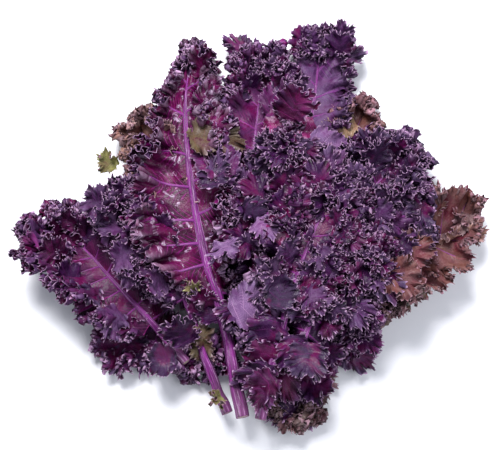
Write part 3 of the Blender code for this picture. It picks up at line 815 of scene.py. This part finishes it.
def stalkMaterial(name, look):
    # streaks run along the stalk; the cut end is pith inside a coloured ring
    mat = bpy.data.materials.new(name)
    mat.use_nodes = True
    tree = mat.node_tree
    shader = tree.nodes["Principled BSDF"]
    coords = uvNode(tree, "stalkMap")
    stretch = tree.nodes.new("ShaderNodeMapping")
    stretch.inputs["Scale"].default_value = stalkGrain["stretch"]
    tree.links.new(coords, stretch.inputs[0])
    streakNoise = noiseNode(tree, stretch.outputs[0], stalkGrain["streak"], 5.0, 0.65, 0.4)
    streak = rangeNode(tree, streakNoise, 0.35, 0.68)
    blotch = rangeNode(tree, noiseNode(tree, coords, stalkGrain["blotch"], 3.0, 0.6), 0.38, 0.66)
    cutNode = tree.nodes.new("ShaderNodeAttribute")
    cutNode.attribute_name = "cutEnd"
    cut = cutNode.outputs["Fac"]
    split = tree.nodes.new("ShaderNodeSeparateXYZ")
    tree.links.new(coords, split.inputs[0])
    colour = mixColour(tree, streak, look["deep"], look["bright"])
    colour = mixColour(tree, times(tree, blotch, 0.20), colour, look["pale"])
    fleckNoise = noiseNode(tree, stretch.outputs[0], stalkGrain["fleck"], 6.0, 0.75, 0.8)
    fleck = rangeNode(tree, fleckNoise, 0.52, 0.62)
    colour = mixColour(tree, times(tree, fleck, 0.75), colour, look["fleck"])
    near = rangeNode(tree, split.outputs[0], 0.0, 0.05, 1.0, 0.0)
    colour = mixColour(tree, times(tree, near, look["greenEnd"]), colour, look["green"])
    pith = rangeNode(tree, split.outputs[0], 0.55, 0.92, 0.0, 1.0)
    core = mixColour(tree, pith, look["pith"], look["bright"])
    colour = mixColour(tree, cut, colour, core)
    tree.links.new(colour, shader.inputs["Base Color"])
    rough = rangeNode(tree, streak, 0.0, 1.0, 0.34, 0.52)
    tree.links.new(rough, shader.inputs["Roughness"])
    shader.inputs["Specular IOR Level"].default_value = 0.20
    bump = tree.nodes.new("ShaderNodeBump")
    bump.inputs["Strength"].default_value = 0.35
    bump.inputs["Distance"].default_value = stalkGrain["relief"]
    tree.links.new(streak, bump.inputs["Height"])
    tree.links.new(bump.outputs[0], shader.inputs["Normal"])
    return mat


# leaf skins: colours first, then how much of each effect shows

# the hollow colour is painted shade, the rim colour a painted edge glow; wax also paints highlights on ruffle
# tops
purpleLook = dict(
    deep=(0.009, 0.0003, 0.011), second=(0.022, 0.0012, 0.028), lit=(0.056, 0.010, 0.074),
    flush=(0.11, 0.0005, 0.048), hollowShade=(0.004, 0.0002, 0.004), vein=(0.14, 0.004, 0.12),
    waxAndRidgeHighlight=(0.145, 0.058, 0.18), rim=(0.62, 0.38, 0.60), flushFrom=0.48, veinWidth=0.030, bloom=0.20,
    netShow=0.25, branchShow=0.40, mainShow=0.7, ridgeHighlightShow=0.50, rimGlowShow=0.85, rough=0.34, gloss=0.20,
    bump=0.6)
underLook = dict(
    purpleLook, deep=(0.030, 0.005, 0.036), second=(0.052, 0.014, 0.064), lit=(0.10, 0.036, 0.12),
    flush=(0.070, 0.005, 0.060), hollowShade=(0.014, 0.0015, 0.017), vein=(0.17, 0.030, 0.19),
    waxAndRidgeHighlight=(0.19, 0.12, 0.24), veinWidth=0.055, bloom=0.35, netShow=0.35, branchShow=0.5, mainShow=0.75,
    ridgeHighlightShow=0.40, rough=0.44, gloss=0.20, bump=0.8)
maroonLook = dict(
    purpleLook, deep=(0.020, 0.0003, 0.009), second=(0.038, 0.0008, 0.020), lit=(0.080, 0.008, 0.056),
    flush=(0.10, 0.0008, 0.042), vein=(0.27, 0.006, 0.16), flushFrom=0.46)
crimsonLook = dict(
    maroonLook, waxAndRidgeHighlight=(0.56, 0.42, 0.58), bloom=1.0, bloomFrom=0.555, bloomScale=95.0,
    vein=(0.30, 0.003, 0.20), branchShow=0.5, netShow=0.35, ridgeHighlightShow=0.3)
blueLook = dict(
    purpleLook, deep=(0.010, 0.0012, 0.015), second=(0.022, 0.0055, 0.031), lit=(0.056, 0.026, 0.080),
    waxAndRidgeHighlight=(0.15, 0.095, 0.19), flushFrom=0.51)
nightLook = dict(
    purpleLook, deep=(0.006, 0.0002, 0.007), second=(0.015, 0.0007, 0.019), lit=(0.036, 0.006, 0.048),
    flush=(0.10, 0.0004, 0.042), waxAndRidgeHighlight=(0.095, 0.034, 0.12), rimGlowShow=0.6, flushFrom=0.46)
nightUnder = dict(
    underLook, deep=(0.015, 0.002, 0.019), second=(0.028, 0.006, 0.036), lit=(0.056, 0.018, 0.070),
    flush=(0.070, 0.002, 0.045), hollowShade=(0.008, 0.0006, 0.009), waxAndRidgeHighlight=(0.13, 0.075, 0.165))
plumLook = dict(
    maroonLook, deep=(0.034, 0.0010, 0.026), second=(0.066, 0.0040, 0.055), lit=(0.13, 0.022, 0.12),
    hollowShade=(0.012, 0.0004, 0.010), waxAndRidgeHighlight=(0.21, 0.10, 0.24))
lilacLook = dict(
    purpleLook, deep=(0.085, 0.030, 0.11), second=(0.14, 0.058, 0.17), lit=(0.26, 0.14, 0.29),
    flush=(0.12, 0.02, 0.12), hollowShade=(0.040, 0.008, 0.050), vein=(0.42, 0.22, 0.42),
    waxAndRidgeHighlight=(0.30, 0.20, 0.36), branchShow=0.8, mainShow=0.95)
magentaLook = dict(
    purpleLook, deep=(0.13, 0.0008, 0.050), second=(0.22, 0.0020, 0.095), lit=(0.34, 0.035, 0.20),
    flush=(0.30, 0.002, 0.12), hollowShade=(0.035, 0.0004, 0.014), vein=(0.65, 0.10, 0.42),
    waxAndRidgeHighlight=(0.72, 0.50, 0.66), bloom=0.7, bloomFrom=0.52, branchShow=0.8)
roseLook = dict(
    purpleLook, deep=(0.16, 0.045, 0.055), second=(0.26, 0.13, 0.085), lit=(0.38, 0.23, 0.19),
    flush=(0.20, 0.03, 0.06), hollowShade=(0.08, 0.016, 0.022), vein=(0.38, 0.12, 0.13),
    waxAndRidgeHighlight=(0.48, 0.33, 0.32), rim=(0.50, 0.32, 0.34))
bronzeLook = dict(
    purpleLook, deep=(0.075, 0.012, 0.020), second=(0.14, 0.050, 0.034), lit=(0.22, 0.10, 0.085),
    flush=(0.12, 0.008, 0.028), hollowShade=(0.024, 0.003, 0.006), vein=(0.28, 0.06, 0.08),
    waxAndRidgeHighlight=(0.32, 0.19, 0.21), rim=(0.46, 0.24, 0.30))
oliveLook = dict(
    purpleLook, deep=(0.040, 0.014, 0.014), second=(0.075, 0.055, 0.018), lit=(0.15, 0.11, 0.055),
    flush=(0.062, 0.006, 0.026), hollowShade=(0.012, 0.003, 0.005), vein=(0.20, 0.09, 0.06),
    waxAndRidgeHighlight=(0.24, 0.19, 0.18), rim=(0.38, 0.26, 0.30))
tanLook = dict(
    bronzeLook, deep=(0.22, 0.13, 0.075), second=(0.34, 0.21, 0.11), lit=(0.46, 0.33, 0.20),
    flush=(0.26, 0.10, 0.07), hollowShade=(0.09, 0.045, 0.03), vein=(0.50, 0.34, 0.20), waxAndRidgeHighlight=(0.52, 0.42, 0.34),
    rim=(0.55, 0.42, 0.34))
greenLook = dict(
    oliveLook, deep=(0.11, 0.10, 0.022), second=(0.19, 0.18, 0.045), lit=(0.32, 0.31, 0.12),
    flush=(0.16, 0.09, 0.04), hollowShade=(0.05, 0.045, 0.012), vein=(0.42, 0.42, 0.16), rim=(0.48, 0.46, 0.24))
bronzeUnder = dict(
    underLook, deep=(0.10, 0.040, 0.055), second=(0.15, 0.080, 0.075), lit=(0.24, 0.15, 0.15),
    flush=(0.12, 0.018, 0.04), hollowShade=(0.036, 0.007, 0.012), vein=(0.27, 0.09, 0.12),
    waxAndRidgeHighlight=(0.30, 0.21, 0.23), rim=(0.46, 0.27, 0.33))

underSkin = skinMaterial("purple_under_skin", underLook)
bronzeUnderSkin = skinMaterial("bronze_under_skin", bronzeUnder)
nightUnderSkin = skinMaterial("dark_under_skin", nightUnder)
skins = {
    "night": (skinMaterial("dark_upper_skin", nightLook), nightUnderSkin),
    "plum": (skinMaterial("plum_upper_skin", plumLook), underSkin),
    "purple": (skinMaterial("purple_upper_skin", purpleLook), underSkin),
    "maroon": (skinMaterial("maroon_upper_skin", maroonLook), underSkin),
    "crimson": (skinMaterial("crimson_upper_skin", crimsonLook), underSkin),
    "blue": (skinMaterial("slate_upper_skin", blueLook), underSkin),
    "lilac": (skinMaterial("lilac_upper_skin", lilacLook), underSkin),
    "magenta": (skinMaterial("magenta_upper_skin", magentaLook), underSkin),
    "rose": (skinMaterial("rose_upper_skin", roseLook), bronzeUnderSkin),
    "bronze": (skinMaterial("bronze_upper_skin", bronzeLook), bronzeUnderSkin),
    "olive": (skinMaterial("olive_upper_skin", oliveLook), bronzeUnderSkin),
    "tan": (skinMaterial("tan_upper_skin", tanLook), bronzeUnderSkin),
    "green": (skinMaterial("green_upper_skin", greenLook), bronzeUnderSkin),
}
stalkLook = dict(
    deep=(0.045, 0.0020, 0.045), bright=(0.24, 0.0090, 0.23), pale=(0.32, 0.14, 0.32),
    green=(0.25, 0.28, 0.09), pith=(0.50, 0.46, 0.30), greenEnd=0.10, fleck=(0.50, 0.30, 0.50))
magentaStalk = stalkMaterial("magenta_stalk_skin", stalkLook)
print("materials ready")

# the leaves: paths run from the cut end to the tip, left and right are half widths from base to tip;
# widths, paths and stalk radii are in metres, bladeFrom is the share of the path that is bare stalk

leafUsual = dict(slot="purple_leaf", facedown=False, columns=3072, taper=1.25, veins=15, veinSize=1.0,
                 frill={}, lobes=None)


def growLeaf(order):
    leaf = dict(leafUsual, **order)
    grid = bladeGrid(leaf, dict(frillUsual, **leaf["frill"]))
    blade = bladePiece(leaf, grid, skins[leaf["skin"]])
    side = lobesOver(leaf, grid)
    faces = len(lobesPiece(leaf["node"] + "_side_lobes", side).data.polygons) if side else 0
    stalkPiece(leaf, grid, magentaStalk)
    print("leaf", leaf["node"], "has", len(blade.data.polygons), "faces and", faces, "in its side lobes")


underCentre = dict(
    node="under_centre", number=0, skin="purple", facedown=True, columns=1536,
    bladeFrom=0.22, stalk=0.0040,
    path=[(0.004, -0.112), (0.000, -0.045), (0.002, 0.030), (0.006, 0.085)],
    left=(0.030, 0.044, 0.046, 0.040, 0.030, 0.014),
    right=(0.030, 0.044, 0.046, 0.040, 0.030, 0.014))
growLeaf(underCentre)

backLeftBronze = dict(
    node="back_left_bronze", number=1, slot="bronze_leaf", skin="rose", columns=2048,
    bladeFrom=0.34, stalk=0.0036,
    path=[(-0.062, -0.070), (-0.068, 0.000), (-0.084, 0.056), (-0.104, 0.092)],
    left=(0.020, 0.030, 0.034, 0.034, 0.028, 0.018),
    right=(0.020, 0.030, 0.034, 0.036, 0.030, 0.018))
growLeaf(backLeftBronze)

backRightBronze = dict(
    node="back_right_bronze", number=2, slot="bronze_leaf", skin="bronze", columns=2048,
    bladeFrom=0.30, stalk=0.0036,
    path=[(0.056, -0.066), (0.064, 0.000), (0.082, 0.066), (0.102, 0.114)],
    left=(0.020, 0.030, 0.034, 0.032, 0.026, 0.014),
    right=(0.020, 0.028, 0.030, 0.026, 0.022, 0.014))
growLeaf(backRightBronze)

farRightBronze = dict(
    node="far_right_bronze", number=3, slot="bronze_leaf", skin="bronze",
    bladeFrom=0.25, stalk=0.0040,
    path=[(0.068, -0.082), (0.104, -0.050), (0.148, -0.018), (0.192, 0.008)],
    left=(0.030, 0.044, 0.052, 0.050, 0.034, 0.017),
    right=(0.030, 0.046, 0.044, 0.030, 0.022, 0.014),
    lobes=dict(count=10, size=0.018, skins=("bronze", "bronze", "olive", "rose")),
    frill=dict(calmFrill, curl=0.6))
growLeaf(farRightBronze)

leftLow = dict(
    node="left_low", number=4, skin="maroon", columns=2048,
    bladeFrom=0.28, stalk=0.0036,
    path=[(-0.054, -0.128), (-0.078, -0.104), (-0.102, -0.098), (-0.124, -0.106)],
    left=(0.016, 0.022, 0.026, 0.028, 0.022, 0.012),
    right=(0.020, 0.032, 0.036, 0.034, 0.026, 0.014),
    lobes=dict(count=6, size=0.018), frill=calmFrill)
growLeaf(leftLow)

lowerRightBronze = dict(
    node="lower_right_bronze", number=5, slot="bronze_leaf", skin="olive", columns=2048,
    bladeFrom=0.25, stalk=0.0034,
    path=[(0.050, -0.096), (0.080, -0.074), (0.108, -0.058), (0.132, -0.052)],
    left=(0.020, 0.030, 0.032, 0.030, 0.024, 0.012),
    right=(0.016, 0.022, 0.024, 0.024, 0.020, 0.012),
    lobes=dict(count=10, size=0.020, skins=("olive", "bronze")))
growLeaf(lowerRightBronze)

bottomRight = dict(
    node="bottom_right", number=6, skin="olive", columns=2048,
    bladeFrom=0.25, stalk=0.0030,
    path=[(0.033, -0.092), (0.033, -0.120), (0.035, -0.143), (0.040, -0.160)],
    left=(0.018, 0.026, 0.028, 0.026, 0.020, 0.010),
    right=(0.018, 0.028, 0.032, 0.028, 0.022, 0.010),
    lobes=dict(count=14, size=0.018, skins=("olive", "purple", "blue")))
growLeaf(bottomRight)

bottomLeft = dict(
    node="bottom_left", number=7, skin="maroon", columns=1536,
    bladeFrom=0.25, stalk=0.0026,
    path=[(-0.022, -0.098), (-0.036, -0.110), (-0.052, -0.116), (-0.068, -0.116)],
    left=(0.012, 0.015, 0.017, 0.016, 0.014, 0.009),
    right=(0.012, 0.018, 0.020, 0.018, 0.014, 0.009))
growLeaf(bottomLeft)

leftLong = dict(
    node="left_long", number=8, skin="maroon",
    bladeFrom=0.26, stalk=0.0040,
    path=[(-0.058, -0.118), (-0.090, -0.082), (-0.124, -0.046), (-0.150, -0.018), (-0.177, 0.003)],
    left=(0.024, 0.044, 0.058, 0.060, 0.044, 0.020),
    right=(0.024, 0.036, 0.038, 0.034, 0.026, 0.015),
    lobes=dict(count=16))
growLeaf(leftLong)

topRight = dict(
    node="top_right", number=9, skin="purple", facedown=True,
    bladeFrom=0.42, stalk=0.0042,
    path=[(0.018, -0.098), (0.026, -0.010), (0.050, 0.090), (0.063, 0.183)],
    left=(0.024, 0.036, 0.038, 0.034, 0.030, 0.022),
    right=(0.024, 0.034, 0.040, 0.040, 0.036, 0.022),
    lobes=dict(count=10, span=(0.3, 0.75), reach=(0.45, 0.7)))
growLeaf(topRight)

rightLow = dict(
    node="right_low", number=10, skin="purple", columns=2048,
    bladeFrom=0.22, stalk=0.0036,
    path=[(0.034, -0.132), (0.054, -0.106), (0.076, -0.086), (0.096, -0.076)],
    left=(0.020, 0.034, 0.040, 0.038, 0.030, 0.014),
    right=(0.018, 0.026, 0.030, 0.028, 0.022, 0.012),
    lobes=dict(count=20, size=0.022))
growLeaf(rightLow)

rightUpper = dict(
    node="right_upper", number=11, skin="blue",
    bladeFrom=0.34, stalk=0.0042,
    path=[(0.044, -0.076), (0.070, -0.020), (0.104, 0.032), (0.138, 0.066)],
    left=(0.026, 0.040, 0.044, 0.042, 0.034, 0.018),
    right=(0.026, 0.040, 0.044, 0.040, 0.030, 0.016),
    lobes=dict(count=30))
growLeaf(rightUpper)

topMiddle = dict(
    node="top_middle", number=12, skin="plum",
    bladeFrom=0.40, stalk=0.0040,
    path=[(-0.012, -0.092), (-0.008, -0.010), (0.002, 0.090), (0.010, 0.158)],
    left=(0.022, 0.032, 0.038, 0.040, 0.036, 0.020),
    right=(0.022, 0.034, 0.038, 0.038, 0.034, 0.020),
    lobes=dict(count=16, span=(0.25, 0.8)))
growLeaf(topMiddle)

leftMiddle = dict(
    node="left_middle", number=13, skin="purple",
    bladeFrom=0.48, stalk=0.0048,
    path=[(-0.023, -0.160), (-0.045, -0.106), (-0.061, -0.060), (-0.092, -0.018), (-0.122, 0.022)],
    left=(0.018, 0.030, 0.036, 0.036, 0.030, 0.016),
    right=(0.020, 0.034, 0.040, 0.038, 0.030, 0.018),
    lobes=dict(count=16))
growLeaf(leftMiddle)

rightFaceDown = dict(
    node="right_face_down", number=14, skin="blue", facedown=True,
    bladeFrom=0.28, stalk=0.0038,
    path=[(0.044, -0.092), (0.062, -0.050), (0.088, -0.014), (0.122, 0.002), (0.144, 0.006)],
    left=(0.022, 0.036, 0.042, 0.040, 0.030, 0.016),
    right=(0.022, 0.034, 0.040, 0.038, 0.030, 0.016),
    lobes=dict(count=12, reach=(0.4, 0.7)))
growLeaf(rightFaceDown)

centreUpper = dict(
    node="centre_upper", number=15, skin="night",
    bladeFrom=0.30, stalk=0.0038,
    path=[(0.004, -0.104), (0.006, -0.040), (0.016, 0.026), (0.036, 0.074)],
    left=(0.022, 0.034, 0.038, 0.036, 0.030, 0.016),
    right=(0.022, 0.036, 0.042, 0.038, 0.030, 0.016),
    lobes=dict(count=30, skins=("night", "night", "purple", "blue", "maroon")))
growLeaf(centreUpper)

centreLow = dict(
    node="centre_low", number=16, skin="night",
    bladeFrom=0.30, stalk=0.0038,
    path=[(0.026, -0.136), (0.046, -0.090), (0.074, -0.052), (0.108, -0.034)],
    left=(0.022, 0.036, 0.040, 0.038, 0.030, 0.016),
    right=(0.020, 0.032, 0.036, 0.034, 0.028, 0.014),
    lobes=dict(count=30, skins=("night", "night", "purple", "blue", "maroon")))
growLeaf(centreLow)

centreRight = dict(
    node="centre_right", number=17, skin="night",
    bladeFrom=0.40, stalk=0.0046,
    path=[(0.005, -0.166), (0.026, -0.080), (0.050, -0.012), (0.074, 0.038)],
    left=(0.024, 0.040, 0.044, 0.040, 0.032, 0.016),
    right=(0.024, 0.042, 0.048, 0.044, 0.034, 0.016),
    lobes=dict(count=30, skins=("night", "night", "purple", "blue", "maroon")))
growLeaf(centreRight)

topLeftLong = dict(
    node="top_left_long", number=18, skin="crimson",
    bladeFrom=0.30, stalk=0.0056, taper=0.85, veinSize=1.6,
    path=[(-0.010, -0.164), (-0.028, -0.075), (-0.043, -0.026), (-0.056, 0.046), (-0.061, 0.112),
          (-0.058, 0.171)],
    left=(0.024, 0.068, 0.048, 0.024, 0.020, 0.014),
    right=(0.018, 0.032, 0.036, 0.034, 0.030, 0.016),
    lobes=dict(count=12, span=(0.5, 0.97), reach=(0.4, 0.7)))
growLeaf(topLeftLong)

centreSmall = dict(
    node="centre_small", number=19, skin="blue", columns=1536,
    bladeFrom=0.30, stalk=0.0026,
    path=[(-0.001, -0.124), (-0.005, -0.098), (-0.002, -0.074), (0.008, -0.050)],
    left=(0.012, 0.018, 0.020, 0.018, 0.014, 0.010),
    right=(0.014, 0.020, 0.022, 0.020, 0.016, 0.010),
    lobes=dict(count=5, size=0.016))
growLeaf(centreSmall)


# leaflets and torn bits that lie on the bunch


def wholePile():
    verts, polys = [], []
    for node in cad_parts.values():
        start = len(verts)
        verts += [v.co.copy() for v in node.data.vertices]
        polys += [tuple(start + k for k in p.vertices) for p in node.data.polygons]
    return BVHTree.FromPolygons(verts, polys)


pileTree = wholePile()


def pileHeight(x, y):
    # the highest solid surface within a few millimetres of a point, or the floor
    top = 0.0
    for dx, dy in ((0, 0), (0.006, 0), (-0.006, 0), (0, 0.006), (0, -0.006)):
        hit = pileTree.ray_cast(Vector((x + dx, y + dy, 1)), Vector((0, 0, -1)))[0]
        top = max(top, hit.z if hit is not None else 0.0)
    return top


def leaflets(name, firstSeed, rows):
    # each row: its place, the way it points in degrees, how steeply it rises, and its shape
    grids = []
    for k, row in enumerate(rows):
        x, y = row["at"]
        root = (x, y, pileHeight(x, y) + row["above"])
        turn = math.radians(row["points"])
        ahead = (math.cos(turn), math.sin(turn), math.tan(row["rise"]))
        grids.append(lobeGrid(root, ahead, firstSeed + k, row))
    piece = lobesPiece(name, grids)
    print("leaflets", name, "have", len(piece.data.polygons), "faces")


flatLeaflet = dict(
    waves=[dict(length=0.018, height=0.0018, lean=0.2, start=0.3),
           dict(length=0.0075, height=0.0008, lean=0.2, start=0.6)],
    teeth=0.0022, quilt=0.0005)
leaflets("stalk_leaflets", 9434, [
    dict(at=(-0.0190, -0.0920), points=24, size=0.036, skin="lilac", rise=0.12, above=0.013, bow=-0.15,
         cup=-0.1, roll=0.1, columns=240, frill=flatLeaflet),
    dict(at=(-0.0100, -0.1360), points=-30, size=0.017, skin="lilac", rise=0.15, above=0.004, bow=-0.2,
         frill=flatLeaflet),
    dict(at=(0.0200, -0.0900), points=70, size=0.026, skin="blue", rise=0.15, above=0.006,
         frill=flatLeaflet),
    dict(at=(0.0060, -0.1300), points=-60, size=0.026, skin="maroon", rise=0.2, above=0.003),
    dict(at=(0.0020, -0.1180), points=-20, size=0.022, skin="maroon", rise=0.3, above=-0.016),
    dict(at=(0.0080, -0.1480), points=-80, size=0.018, skin="maroon", rise=0.3, above=0.002),
    dict(at=(-0.0500, -0.1150), points=120, size=0.026, skin="purple", rise=0.3, above=0.004),
    dict(at=(-0.0480, -0.0900), points=60, size=0.024, skin="maroon", rise=0.3, above=0.004),
    dict(at=(-0.0320, -0.0980), points=100, size=0.022, skin="purple", rise=0.4, above=0.002),
    dict(at=(-0.0600, -0.1250), points=190, size=0.024, skin="blue", rise=0.15, above=0.004,
         frill=flatLeaflet),
    dict(at=(0.0000, -0.1030), points=-50, size=0.022, skin="maroon", rise=0.1, above=-0.004),
    dict(at=(0.0060, -0.1000), points=-70, size=0.030, skin="blue", rise=0.1, above=0.006),
    dict(at=(0.0180, -0.1120), points=-110, size=0.030, skin="maroon", rise=0.05, above=0.005),
    dict(at=(0.0170, -0.1300), points=-120, size=0.028, skin="purple", rise=0.0, above=0.003, bow=-0.8,
         cup=-0.7),
    dict(at=(0.0230, -0.1420), points=-150, size=0.024, skin="maroon", rise=0.1, above=0.004),
    dict(at=(0.0360, -0.1060), points=-80, size=0.030, skin="purple", rise=0.1, above=0.006),
    dict(at=(0.0500, -0.1120), points=-100, size=0.030, skin="blue", rise=0.05, above=0.005),
    dict(at=(0.0560, -0.1260), points=-140, size=0.028, skin="maroon", rise=0.1, above=0.005),
    dict(at=(0.0420, -0.1400), points=-40, size=0.026, skin="purple", rise=0.2, above=0.004),
    dict(at=(-0.0220, -0.1000), points=-100, size=0.024, skin="maroon", rise=0.1, above=-0.026),
    dict(at=(-0.0240, -0.1180), points=-80, size=0.022, skin="purple", rise=0.1, above=-0.020),
    dict(at=(-0.0440, -0.1080), points=-80, size=0.018, skin="olive", rise=0.1, above=0.000),
    dict(at=(-0.0020, -0.1260), points=-50, size=0.022, skin="maroon", rise=0.1, above=-0.014),
    dict(at=(0.0190, -0.0900), points=-105, size=0.034, skin="purple", rise=0.0, above=0.004, bow=-0.7,
         cup=-0.7),
    dict(at=(0.0080, -0.1120), points=-70, size=0.030, skin="blue", rise=0.0, above=0.004, bow=-0.5,
         cup=-0.7),
    dict(at=(0.0340, -0.1300), points=-120, size=0.026, skin="maroon", rise=0.0, above=0.003, bow=-0.8,
         cup=-0.7),
    dict(at=(0.0040, -0.1400), points=-20, size=0.026, skin="maroon", rise=0.0, above=0.003, bow=-0.5),
])
leaflets("bronze_bits", 9341, [
    dict(at=(-0.0370, -0.1160), points=110, size=0.019, skin="olive", rise=0.2, above=0.001),
    dict(at=(-0.0210, -0.1590), points=200, size=0.013, skin="green", rise=0.3, above=0.004, bow=0.9),
    dict(at=(-0.0500, -0.0720), points=75, size=0.011, skin="green", rise=0.6, above=0.001),
    dict(at=(-0.0560, 0.0590), points=22, size=0.038, skin="olive", rise=0.35, above=0.004, columns=260),
    dict(at=(0.0980, 0.0900), points=200, size=0.034, skin="tan", rise=0.2, above=0.004, cup=0.9, bow=0.1,
         full=0.55, frill=flatLeaflet, columns=220),
    dict(at=(-0.1130, 0.0360), points=160, size=0.016, skin="green", rise=0.1, above=0.001),
    dict(at=(0.1100, -0.0540), points=-20, size=0.030, skin="bronze", rise=0.3, above=0.003, columns=200),
    dict(at=(0.1300, -0.0500), points=60, size=0.030, skin="bronze", rise=0.3, above=0.003, columns=200),
])
leaflets("centre_leaflets", 9465, [
    dict(at=(-0.0140, 0.0240), points=132, size=0.040, skin="plum", rise=0.10, above=0.006, bow=-0.3,
         cup=0.7, roll=0.2, full=0.7, columns=260, frill=flatLeaflet),
    dict(at=(0.0600, 0.0800), points=195, size=0.042, skin="magenta", rise=0.2, above=0.012, cup=0.5,
         bow=-0.1, columns=220, frill=flatLeaflet),
    dict(at=(0.0990, 0.0790), points=-42, size=0.034, skin="purple", rise=0.2, above=0.012, bow=-0.3,
         columns=220, frill=flatLeaflet),
    dict(at=(-0.0080, 0.0040), points=-40, size=0.024, skin="blue", rise=0.35, above=0.013, columns=200),
    dict(at=(0.0020, -0.0120), points=-30, size=0.023, skin="lilac", rise=0.3, above=0.009, columns=200),
    dict(at=(-0.0200, -0.0260), points=-90, size=0.024, skin="lilac", rise=0.3, above=0.012, columns=200),
    dict(at=(0.0140, 0.0560), points=-75, size=0.030, skin="blue", rise=0.3, above=0.012, columns=200,
         cup=0.8),
    dict(at=(0.0480, 0.0600), points=-20, size=0.032, skin="lilac", rise=0.15, above=0.012, columns=220,
         frill=flatLeaflet),
    dict(at=(0.0400, 0.0300), points=-100, size=0.030, skin="magenta", rise=0.3, above=0.003, columns=200),
    dict(at=(0.0140, -0.0240), points=10, size=0.028, skin="magenta", rise=0.3, above=0.003, columns=200),
    dict(at=(0.0300, 0.0760), points=60, size=0.032, skin="maroon", rise=0.3, above=0.004, columns=200),
    dict(at=(-0.0300, 0.0140), points=100, size=0.024, skin="blue", rise=0.3, above=0.012),
])
print("leaves grown")

# floor, lights and camera

floorLook = dict(half=3.0, drop=0.0002, colour=(0.95, 0.96, 0.98), rough=0.7)
keyLook = dict(place=(-0.25, 0.80, 1.25), size=0.6, power=35.0, colour=(0.98, 0.97, 1.0))
fillLook = dict(place=(0.9, -0.3, 1.3), size=0.9, power=9.0, colour=(0.90, 0.92, 1.0))
skyLook = dict(colour=(0.86, 0.90, 1.0), strength=0.42)
cameraLook = dict(elevation=78.0, distance=0.851, lens=70.0, sensor=36.0, aim=(0.0009, -0.0104, 0.030))


def floorPiece():
    half = floorLook["half"]
    corners = [(-half, -half, 0), (half, -half, 0), (half, half, 0), (-half, half, 0)]
    mesh = bpy.data.meshes.new("floor")
    mesh.from_pydata(corners, [], [(0, 1, 2, 3)])
    floor = bpy.data.objects.new("floor", mesh)
    floor.location.z = -floorLook["drop"]
    mat = bpy.data.materials.new("pale_floor")
    mat.use_nodes = True
    shader = mat.node_tree.nodes["Principled BSDF"]
    shader.inputs["Base Color"].default_value = (*floorLook["colour"], 1)
    shader.inputs["Roughness"].default_value = floorLook["rough"]
    mesh.materials.append(mat)
    scene.collection.objects.link(floor)


def turnedTo(obj, aim):
    obj.rotation_euler = (Vector(aim) - obj.location).to_track_quat("-Z", "Y").to_euler()


def areaLight(name, look):
    light = bpy.data.lights.new(name, "AREA")
    light.energy = look["power"]
    light.size = look["size"]
    light.color = look["colour"]
    obj = bpy.data.objects.new(name, light)
    obj.location = look["place"]
    turnedTo(obj, (0, 0, 0))
    scene.collection.objects.link(obj)


def addSky():
    world = bpy.data.worlds.new("pale_studio")
    world.use_nodes = True
    background = world.node_tree.nodes["Background"]
    background.inputs["Color"].default_value = (*skyLook["colour"], 1)
    background.inputs["Strength"].default_value = skyLook["strength"]
    scene.world = world


def addCamera():
    data = bpy.data.cameras.new("camera")
    data.lens = cameraLook["lens"]
    data.sensor_width = cameraLook["sensor"]
    cam = bpy.data.objects.new("camera", data)
    rise = math.radians(cameraLook["elevation"])
    away = Vector((0, -math.cos(rise), math.sin(rise)))
    cam.location = Vector(cameraLook["aim"]) + cameraLook["distance"] * away
    turnedTo(cam, cameraLook["aim"])
    scene.collection.objects.link(cam)
    scene.camera = cam


floorPiece()
areaLight("soft_key", keyLook)
areaLight("soft_fill", fillLook)
addSky()
addCamera()
scene.view_settings.view_transform = "Standard"
print("stage ready")
